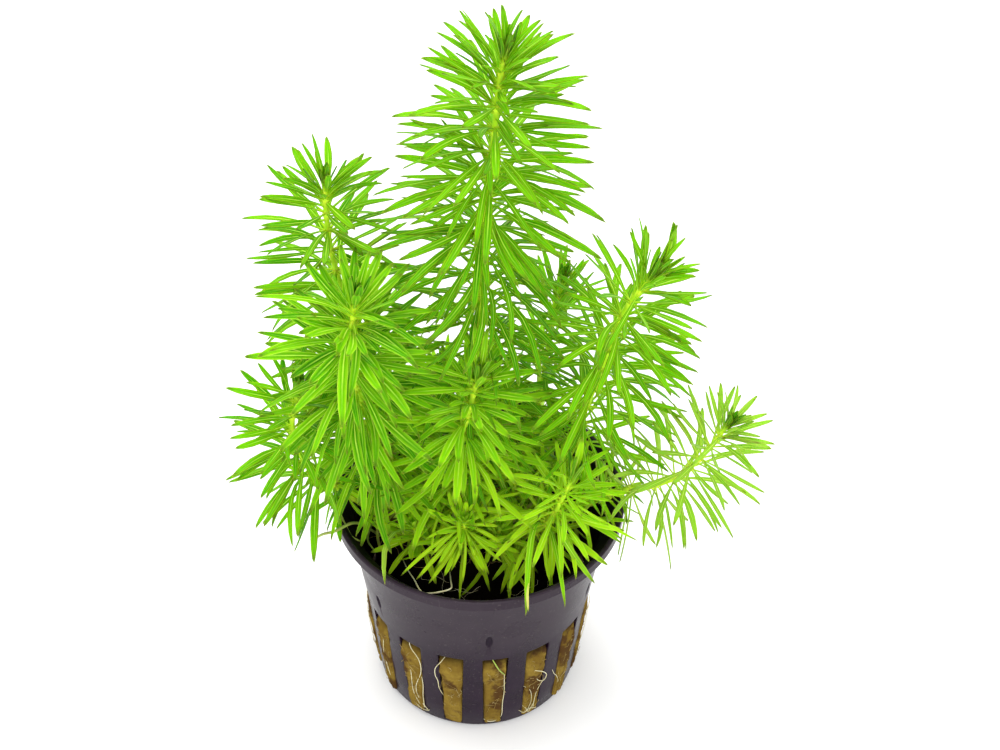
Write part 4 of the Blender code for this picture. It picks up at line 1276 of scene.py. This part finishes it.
rim_root = tube("rim_root", [rim_root_line, *hairs], 6)

# %% [markdown]
# ## A bare stalk, dead bits and cut ends
#
# Small things that tell a real plant from a drawn one: a bare stalk hangs out over the left rim, curled
# dead bits lie inside it, a sprout pokes out of a slot, and two cut stem ends show pale in the middle.

# %% Stalk and cut ends
STALK = (
    (-17.8, -2.6, 34.3), (-20.2, -6, 40.5), (-22, -9.6, 45), (-24.8, -11.8, 45.2), (-27, -11.3, 43.8),
    (-28.4, -10, 41.4),
)
CURLED_BITS = (  # radius in mm and points in mm
    (0.30, ((-21, -1.2, 43), (-20.9, -0.1, 40.5), (-20.6, 0.2, 38.5), (-19.8, 0.4, 38), (-18.9, 1.2, 38.5),
           (-17.6, 0.8, 41), (-16.8, 0, 44))),
    (0.22, ((-24.4, -6.5, 44.4), (-23.2, -8.2, 42.5), (-22.1, -10.1, 42), (-20.7, -10.1, 41))),
    (0.30, ((-17.1, -2.2, 44), (-16.8, -4.9, 42), (-15.8, -6.8, 40), (-14.4, -6.9, 38.5))),
    (0.20, ((-10.3, -0.9, 47), (-9.9, -1.6, 46), (-10.5, -1.9, 45), (-12, -1.9, 45))),
    (0.22, ((-18.6, -0.3, 36), (-19.5, -2.8, 36.5), (-19.6, -7.1, 38), (-18.2, -10.9, 39.5))),
)
stalk_lines = [tapered([Vector(p) * MM for p in STALK], 0.27 * MM, 0.7)]
for radius, points in CURLED_BITS:
    stalk_lines.append(tapered([Vector(p) * MM for p in points], radius * MM, 0.6))
# given in the same way as the roots in the slots
SPROUT = ((8.5, 22, -0.3), (10.6, 20.4, 0.4), (12.4, 19, 0.6), (15, 17.3, 0.4))
stalk_lines.append(tapered([on_wall(*p) for p in SPROUT], 0.13 * MM, 0.5))
stalk = tube("bare_stalk", stalk_lines, 8)

CUT_ENDS = (  # foot and cut end in mm, radius in mm
    ((-9.6, -1.2, 43.0), (-10.4, -3.4, 48.6), 0.62),
    ((-4.4, -5.6, 42.0), (-3.6, -7.4, 48.2), 0.6),
)
cut_lines = []
for foot, top, radius in CUT_ENDS:
    foot, top = Vector(foot) * MM, Vector(top) * MM
    cut_lines.append([(foot.lerp(top, s), radius * MM * (0.85 + 0.15 * s)) for s in (0, 0.3, 0.6, 0.85, 1)])
cut_ends = tube("cut_stem_ends", cut_lines, 8)

# %% [markdown]
# ## Wool fibres
#
# Close up, the wool is a felt of fine fibres, and they fray where a slot leaves it free. Hair particles
# don't survive an export, so the fibres are real thin tubes: one random walk over the wool's surface for
# each.

# %% Fibres
FIBRE_RADIUS = 0.045 * MM
SLOT_FIBRES, TOP_FIBRES = 30, 420  # for each slot, and on the plug's top
WALL_STEP = 20  # a step of this many mm along the wall turns it by about one radian
TOP_MIDDLE, TOP_RADII = (-4.1, 4.4), (15.2, 13.6)  # mm


def wool_fibre(chance, turn, height, reach):
    """A fibre that wanders on the wall's surface from a place in a slot."""
    points = []
    heading = chance.uniform(0, math.tau)
    lift = 0.25
    for _ in range(5):
        points.append(on_wall(turn, height, lift))
        turn += math.degrees(math.cos(heading) * reach / WALL_STEP)
        height += math.sin(heading) * reach
        heading += chance.uniform(-0.7, 0.7)
        lift = max(0.1, lift + chance.uniform(-0.16, 0.22))
        if not 1.4 < height < 21.8 or slot_share(turn, height * MM) <= 0:
            break
    return points


chance = random.Random("fibres")
fibres = []
for i in range(SLOTS):
    middle = SLOT_TURN + i * 360 / SLOTS
    for _ in range(SLOT_FIBRES):
        height = chance.uniform(2, 18)
        points = wool_fibre(chance, middle + chance.uniform(-4.6, 4.6), height, chance.uniform(0.5, 1.1))
        if len(points) > 2 and slot_share(front_turn(points[0]), points[0].z) > 0:
            fibres.append([(p, FIBRE_RADIUS * chance.uniform(0.6, 1.3)) for p in points])
for _ in range(TOP_FIBRES):
    turn, out = chance.uniform(0, math.tau), chance.uniform(0.2, 1.0) ** 0.5
    height = chance.uniform(32.5, 34.4) if out > 0.93 else 34.1
    (x, y), (wide, deep) = TOP_MIDDLE, TOP_RADII
    place = Vector((x + wide * out * math.cos(turn), y + deep * out * math.sin(turn), height)) * MM
    heading = heading_by_chance(chance, (-1, 1), (-1, 1), (0, 0.35)).normalized()
    points = [place]
    for _ in range(4):
        heading = (heading + 0.5 * heading_by_chance(chance, (-1, 1), (-1, 1), (-0.7, 0.6))).normalized()
        points.append(points[-1] + heading * chance.uniform(0.5, 1.1) * MM)
    if clears_pot(*points):
        fibres.append([(p, FIBRE_RADIUS * chance.uniform(0.7, 1.6)) for p in points])
fibre_piece = tube("wool_fibres", fibres, 4)
print("fibres:", len(fibres))

# %% [markdown]
# ## Materials
#
# Two effects are shared by several finishes, so they are node groups: a two-scale mottle, which gives a
# mask of patches and specks, and a fine grain, which gives a bumped normal. Each material keeps its own
# Principled shader.

# %% Shared effects
def new_group(name, inputs, outputs):
    """An empty node group with its named sockets, and its input and output nodes."""
    group = bpy.data.node_groups.new(name, "ShaderNodeTree")
    for title, kind, value in inputs:
        made = group.interface.new_socket(title, in_out="INPUT", socket_type=kind)
        if value is not None:
            made.default_value = value
    for title, kind in outputs:
        group.interface.new_socket(title, in_out="OUTPUT", socket_type=kind)
    return group, group.nodes.new("NodeGroupInput"), group.nodes.new("NodeGroupOutput")


def place_node(tree, kind, inputs=(), **settings):
    """Adds a node, sets it up, and links or sets each input that is given."""
    made = tree.nodes.new(kind)
    for name, value in settings.items():
        setattr(made, name, value)
    for key, value in dict(inputs).items():
        if isinstance(value, bpy.types.NodeSocket):
            tree.links.new(value, made.inputs[key])
        else:
            made.inputs[key].default_value = value
    return made


def sums(tree, operation, *values):
    """A Math node's result."""
    return place_node(tree, "ShaderNodeMath", enumerate(values), operation=operation).outputs[0]


def ease(tree, value, low, high, to_low=0.0, to_high=1.0):
    """A smooth step of a value from one range to another."""
    made = place_node(
        tree,
        "ShaderNodeMapRange",
        {"Value": value, "From Min": low, "From Max": high, "To Min": to_low, "To Max": to_high},
        interpolation_type="SMOOTHSTEP",
    )
    return made.outputs["Result"]


def blend(tree, factor, a, b, mode="MIX"):
    """A colour mix. A colour is a socket or red, green and blue."""
    made = tree.nodes.new("ShaderNodeMix")
    made.data_type = "RGBA"
    made.blend_type = mode
    for index, value in ((0, factor), (6, a), (7, b)):
        if isinstance(value, bpy.types.NodeSocket):
            tree.links.new(value, made.inputs[index])
        else:
            made.inputs[index].default_value = value if index == 0 else (*value, 1)
    return made.outputs[2]


mottle, g_in, g_out = new_group(
    "two_scale_mottle",
    (
        ("Vector", "NodeSocketVector", None),
        ("Patch Size", "NodeSocketFloat", 4 * MM),
        ("Speck Size", "NodeSocketFloat", MM),
    ),
    (("Patches", "NodeSocketFloat"), ("Specks", "NodeSocketFloat")),
)
for size, title in (("Patch Size", "Patches"), ("Speck Size", "Specks")):
    scale = sums(mottle, "DIVIDE", 1.0, g_in.outputs[size])
    settings = {"Vector": g_in.outputs["Vector"], "Scale": scale, "Detail": 4.0, "Roughness": 0.6}
    cloud = place_node(mottle, "ShaderNodeTexNoise", settings)
    mottle.links.new(ease(mottle, cloud.outputs[0], 0.36, 0.64), g_out.inputs[title])

grain, g_in, g_out = new_group(
    "fine_grain",
    (
        ("Vector", "NodeSocketVector", None),
        ("Grain Size", "NodeSocketFloat", 0.3 * MM),
        ("Depth", "NodeSocketFloat", 0.05 * MM),
    ),
    (("Normal", "NodeSocketVector"),),
)
scale = sums(grain, "DIVIDE", 1.0, g_in.outputs["Grain Size"])
settings = {"Vector": g_in.outputs["Vector"], "Scale": scale, "Detail": 3.0}
cloud = place_node(grain, "ShaderNodeTexNoise", settings)
settings = {"Height": cloud.outputs[0], "Distance": g_in.outputs["Depth"], "Strength": 1.0}
bump = place_node(grain, "ShaderNodeBump", settings)
grain.links.new(bump.outputs[0], g_out.inputs["Normal"])


def new_finish(name, **constants):
    """A material, its tree, its shader with constants set on its own sockets, and object coordinates."""
    material = bpy.data.materials.new(name)
    material.use_nodes = True
    tree = material.node_tree
    shader = tree.nodes["Principled BSDF"]
    for key, value in constants.items():
        shader.inputs[key.replace("_", " ")].default_value = value
    places = tree.nodes.new("ShaderNodeTexCoord").outputs["Object"]
    return material, tree, shader, places


def add_mottle(tree, places, patch, speck):
    made = tree.nodes.new("ShaderNodeGroup")
    made.node_tree = mottle
    tree.links.new(places, made.inputs["Vector"])
    made.inputs["Patch Size"].default_value = patch
    made.inputs["Speck Size"].default_value = speck
    return made.outputs["Patches"], made.outputs["Specks"]


def add_grain(tree, shader, places, size, depth):
    made = tree.nodes.new("ShaderNodeGroup")
    made.node_tree = grain
    tree.links.new(places, made.inputs["Vector"])
    made.inputs["Grain Size"].default_value = size
    made.inputs["Depth"].default_value = depth
    tree.links.new(made.outputs["Normal"], shader.inputs["Normal"])


def height_and_depth(tree, places):
    """How high a place is, and how far to the back."""
    split = place_node(tree, "ShaderNodeSeparateXYZ", {0: places})
    return split.outputs["Z"], split.outputs["Y"]


def mottled_finish(name, patch, speck, one, other, fleck=None, fleck_share=1.0, **constants):
    """A material that is mottled in two colours, with flecks of a third."""
    material, tree, shader, places = new_finish(name, **constants)
    patches, specks = add_mottle(tree, places, patch, speck)
    colour = blend(tree, patches, one, other)
    if fleck:
        colour = blend(tree, sums(tree, "MULTIPLY", specks, fleck_share), colour, fleck)
    tree.links.new(colour, shader.inputs["Base Color"])
    return material, tree, shader, patches


def number(tree, name):
    """A value that was kept on the mesh's corners."""
    return place_node(tree, "ShaderNodeAttribute", attribute_name=name).outputs["Fac"]


# %% [markdown]
# ## Pot plastic
#
# Dark aubergine-grey plastic with a soft satin shine and a little dust. The collar is painted lighter than
# the ribs below it, a painted sheen. The inside lies in its own shade, and that shade is painted in: it gets
# a second, duller finish that is nearly black. The sunk marks get a third, painted darker than the wall as
# the shade in them.

# %% Pot finishes
pot_plastic, tree, shader, places = new_finish(
    "pot_plastic", Specular_IOR_Level=0.03, Coat_Weight=0.2, Coat_Roughness=0.2
)
patches, specks = add_mottle(tree, places, 7 * MM, 0.5 * MM)
colour = blend(tree, patches, (0.0092, 0.0030, 0.0102), (0.0132, 0.0050, 0.0147))
height, _ = height_and_depth(tree, places)
# Painted sheen: above the slots the collar is painted lighter than the ribs, for the brighter sheen it shows.
collar = blend(tree, patches, (0.0205, 0.0125, 0.0200), (0.0260, 0.0172, 0.0250))
colour = blend(tree, ease(tree, height, 19 * MM, 30 * MM), colour, collar)
dust = ease(tree, specks, 0.9985, 1.0, 0.0, 0.1)
colour = blend(tree, dust, colour, (0.20, 0.18, 0.16))
tree.links.new(colour, shader.inputs["Base Color"])
tree.links.new(ease(tree, patches, 0, 1, 0.27, 0.36), shader.inputs["Roughness"])
add_grain(tree, shader, places, 0.35 * MM, 0.006 * MM)

# Painted shade: the sunk marks are painted darker than the wall around them, for the shade in them.
pot_recess_painted_shade, *_ = mottled_finish(
    "pot_recess_painted_shade", 2 * MM, 0.5 * MM, (0.0060, 0.0020, 0.0075), (0.0100, 0.0040, 0.0120),
    Specular_IOR_Level=0.1, Roughness=0.5,
)
# Painted shade: the inside, the floor's upper side and the slots' sills are painted nearly black, for the
# shade that lies in the pot.
pot_inside_painted_shade, tree, shader, patches = mottled_finish(
    "pot_inside_painted_shade", 5 * MM, 0.5 * MM, (0.0010, 0.0006, 0.0008), (0.0022, 0.0014, 0.0018),
    Specular_IOR_Level=0.08,
)
tree.links.new(ease(tree, patches, 0, 1, 0.55, 0.75), shader.inputs["Roughness"])

# %% Pot dressed in its finishes
RIM_TURN_HEIGHT, RIM_TURN_RADIUS = 43.2 * MM, 25.2 * MM  # where the rim turns from the inside to the top
FLOOR_TOP = 3 * MM  # the floor's upper side lies lower than this
OUTSIDE, INSIDE, RECESS = 0, 1, 2
for finish in (pot_plastic, pot_inside_painted_shade, pot_recess_painted_shade):
    pot.data.materials.append(finish)
# Faces that look inward below the rim's turn, and every upward face lower than FLOOR_TOP, the slots' sills
# among them, take the inside's painted shade; the sunk faces of the marks take the recess's painted shade.
for face in pot.data.polygons:
    middle, normal = face.center, face.normal
    radius = math.hypot(middle.x, middle.y)
    looks_inward = normal.x * middle.x + normal.y * middle.y < -0.3 * radius
    on_inside = looks_inward and middle.z < RIM_TURN_HEIGHT and radius < RIM_TURN_RADIUS
    on_floor = normal.z > 0.5 and middle.z < FLOOR_TOP
    sunk = radius < wall_radius(middle.z) - 0.08 * MM
    if abs(middle.z - DIMPLE_HEIGHT) < 2 * MM and sunk:
        face.material_index = RECESS
    else:
        face.material_index = INSIDE if on_inside or on_floor else OUTSIDE
hand_over(pot, "pot_plastic", "net_pot")

# %% Wool finish
wool_felt, tree, shader, places = new_finish("wool_felt", Specular_IOR_Level=0.04, Roughness=0.95)
patches, specks = add_mottle(tree, places, 4.5 * MM, 0.8 * MM)
colour = blend(tree, patches, (0.142, 0.088, 0.0135), (0.220, 0.148, 0.024))
colour = blend(tree, sums(tree, "MULTIPLY", specks, 0.35), colour, (0.11, 0.058, 0.012))
elsewhere = place_node(tree, "ShaderNodeMapping", {"Vector": places, "Location": (0.4, 0.1, 0.7)}).outputs[0]
stain, _ = add_mottle(tree, elsewhere, 6.5 * MM, 2 * MM)
colour = blend(tree, ease(tree, stain, 0.5, 0.95, 0.0, 0.85), colour, (0.050, 0.021, 0.008))
height, depth = height_and_depth(tree, places)
# Painted shade: above the slots, where the plug stands back in the dark of the pot, it is painted nearly
# black.
colour = blend(tree, ease(tree, height, 18.8 * MM, 22.3 * MM, 0.0, 0.98), colour, (0.0030, 0.0022, 0.0016))
# The top of the plug towards the back is given a mottled brown again, in place of that painted shade.
crown = sums(tree, "MULTIPLY", ease(tree, height, 32.6 * MM, 34.0 * MM), ease(tree, depth, -5 * MM, 4 * MM))
colour = blend(tree, crown, colour, blend(tree, patches, (0.16, 0.10, 0.022), (0.06, 0.034, 0.009)))
tree.links.new(colour, shader.inputs["Base Color"])
add_grain(tree, shader, places, 0.25 * MM, 0.12 * MM)
wool.data.materials.append(wool_felt)
hand_over(wool, "rock_wool", "rock_wool")

fibre_finish, *_ = mottled_finish(
    "pale_fibre", 3 * MM, 0.6 * MM, (0.26, 0.18, 0.05), (0.42, 0.34, 0.15), (0.20, 0.13, 0.03),
    Specular_IOR_Level=0.1, Roughness=0.7,
)
fibre_piece.data.materials.append(fibre_finish)
hand_over(fibre_piece, "rock_wool")

# %% [markdown]
# ## Green
#
# The leaves are bright because light passes through them, so the shader lets some light travel under the
# surface. Their colour changes with place: yellow at the base and over the midrib, dark at the tip, deep
# green in the bud. Leaves in full light have thin brown margins, and those in the shade of others pale
# ones. The values kept on the corners say where each of these is.

# %% Leaf and stem finish
living_green, tree, shader, places = new_finish(
    "living_green", Specular_IOR_Level=0.04, Subsurface_Weight=0.6, Subsurface_Scale=0.7 * MM
)
shader.inputs["Subsurface Radius"].default_value = (0.5, 1.0, 0.15)
along, across, age, tint = (number(tree, n) for n in ("along", "across", "age", "tint"))
underside, stalk_share, dry, edge = (number(tree, n) for n in ("underside", "stalk", "dry", "edge"))
colour = blend(tree, ease(tree, age, 0.016, 0.034), (0.025, 0.145, 0.003), (0.150, 0.390, 0.001))
# Old leaves are paler, partly their own colour and partly painted light: the pale is laid on strong so that
# old leaves low in the plant's shade show bright.
older = sums(tree, "MULTIPLY", ease(tree, age, 0.5, 1.1), sums(tree, "SUBTRACT", 1.0, tint))
colour = blend(tree, older, colour, (0.34, 0.64, 0.004))
colour = blend(tree, ease(tree, tint, 0.0, 1.0, 0.0, 0.9), colour, (0.032, 0.190, 0.001))
inner_part = ease(tree, along, 0.0, 0.42, 0.6, 0.0)
colour = blend(tree, inner_part, colour, (0.38, 0.66, 0.006))
colour = blend(tree, ease(tree, along, 0.0, 0.11, 0.85, 0.0), colour, (0.68, 0.90, 0.04))
side = sums(tree, "ABSOLUTE", across)
# Painted shade: the midrib's fold in the outer half of the leaf is painted darker green.
fold_shade = sums(tree, "MULTIPLY", ease(tree, side, 0.0, 0.3, 0.4, 0.0), ease(tree, along, 0.5, 0.8))
colour = blend(tree, fold_shade, colour, (0.060, 0.30, 0.001))
rib = sums(tree, "MULTIPLY", ease(tree, side, 0.02, 0.22, 1.0, 0.0), ease(tree, along, 0.4, 0.9, 0.95, 0.1))
colour = blend(tree, rib, colour, (0.62, 0.86, 0.10))
band = sums(tree, "MULTIPLY", ease(tree, side, 0.42, 0.62, 0.0, 0.3), ease(tree, side, 0.78, 0.88, 1.0, 0.0))
colour = blend(tree, band, colour, (0.34, 0.62, 0.01))
margin = sums(tree, "MULTIPLY", ease(tree, side, 0.66, 0.92), ease(tree, along, 0.05, 0.8, 0.4, 1.0))
colour = blend(tree, sums(tree, "MULTIPLY", margin, edge), colour, (0.060, 0.080, 0.003))
shaded = sums(tree, "SUBTRACT", 1.0, edge)
pale_edge = sums(tree, "MULTIPLY", ease(tree, side, 0.78, 0.95, 0.0, 0.55), shaded)
colour = blend(tree, pale_edge, colour, (0.42, 0.74, 0.04))
colour = blend(tree, sums(tree, "MULTIPLY", underside, 0.3), colour, (0.22, 0.46, 0.03))
colour = blend(tree, dry, colour, (0.50, 0.43, 0.13))
colour = blend(tree, ease(tree, along, 0.87, 0.99, 0.0, 0.9), colour, (0.070, 0.062, 0.009))
rod_colour = blend(tree, tint, (0.25, 0.54, 0.004), (0.68, 0.92, 0.05))
rod_colour = blend(tree, ease(tree, age, 0.7, 1.5), rod_colour, (0.44, 0.60, 0.02))
colour = blend(tree, stalk_share, colour, rod_colour)
patches, specks = add_mottle(tree, places, 6 * MM, 0.7 * MM)
colour = blend(tree, sums(tree, "MULTIPLY", specks, 0.10), colour, (0.22, 0.55, 0.02))
tree.links.new(colour, shader.inputs["Base Color"])
tree.links.new(ease(tree, patches, 0, 1, 0.38, 0.5), shader.inputs["Roughness"])
add_grain(tree, shader, places, 0.5 * MM, 0.03 * MM)
for piece, node in zip(greens, STEMS):
    piece.data.materials.clear()
    piece.data.materials.append(living_green)
    hand_over(piece, "leaf_green", node)

# %% Root and stalk finishes
pale_root, *_ = mottled_finish(
    "pale_root", 5 * MM, 0.9 * MM, (0.52, 0.48, 0.27), (0.74, 0.71, 0.50), (0.50, 0.42, 0.16), 0.5,
    Specular_IOR_Level=0.4, Roughness=0.45,
)
for piece, nodes in ((roots, ()), (rim_root, ("root_rim",))):
    piece.data.materials.append(pale_root)
    hand_over(piece, "root", *nodes)

stalk_green, *_ = mottled_finish(
    "stalk_green", 5 * MM, 0.8 * MM, (0.16, 0.30, 0.03), (0.30, 0.44, 0.06), (0.36, 0.30, 0.08), 0.5,
    Specular_IOR_Level=0.3, Roughness=0.5,
)
for piece, nodes in ((stalk, ("stalk_left",)), (cut_ends, ())):
    piece.data.materials.append(stalk_green)
    hand_over(piece, "bare_stalk", *nodes)

# %% [markdown]
# ## Floor and light
#
# The plant stood on a white sweep. A wide plane takes its place, far larger than the view, so no edge or
# horizon shows. The light is soft studio light: a bright even world, a large lamp above and a second one at
# the front.

# %% Floor
leave_edit_mode()
bpy.ops.object.select_all(action="DESELECT")
bpy.ops.mesh.primitive_plane_add(size=6)
floor = bpy.context.object
floor.name = "floor"
paper, *_ = mottled_finish(
    "studio_paper", 0.3, 0.1, (0.90, 0.90, 0.90), (0.92, 0.92, 0.92), Specular_IOR_Level=0.0, Roughness=1.0
)
floor.data.materials.append(paper)
floor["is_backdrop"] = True

# %% Light
world = bpy.data.worlds.new("studio")
bpy.context.scene.world = world
world.use_nodes = True
world.node_tree.nodes["Background"].inputs["Color"].default_value = (1, 1, 1, 1)
world.node_tree.nodes["Background"].inputs["Strength"].default_value = 1.3
PLANT_MIDDLE = Vector((0, 0, 60)) * MM


def soft_light(name, place, size, power):
    """A square lamp that looks at the middle of the plant."""
    lamp = bpy.data.lights.new(name, "AREA")
    lamp.size, lamp.energy = size, power
    obj = bpy.data.objects.new(name, lamp)
    obj.location = place
    obj.rotation_euler = (PLANT_MIDDLE - Vector(place)).to_track_quat("-Z", "Y").to_euler()
    bpy.context.collection.objects.link(obj)


soft_light("key", (-0.2, 0.2, 1.2), 0.8, 9.0)
soft_light("fill", (0.1, -1.15, 0.5), 0.9, 6.0)
bpy.context.scene.view_settings.view_transform = "Standard"
bpy.context.scene.view_settings.look = "None"

# %% Sizes
low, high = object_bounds()
print("visual size", [round(v, 4) for v in high - low])
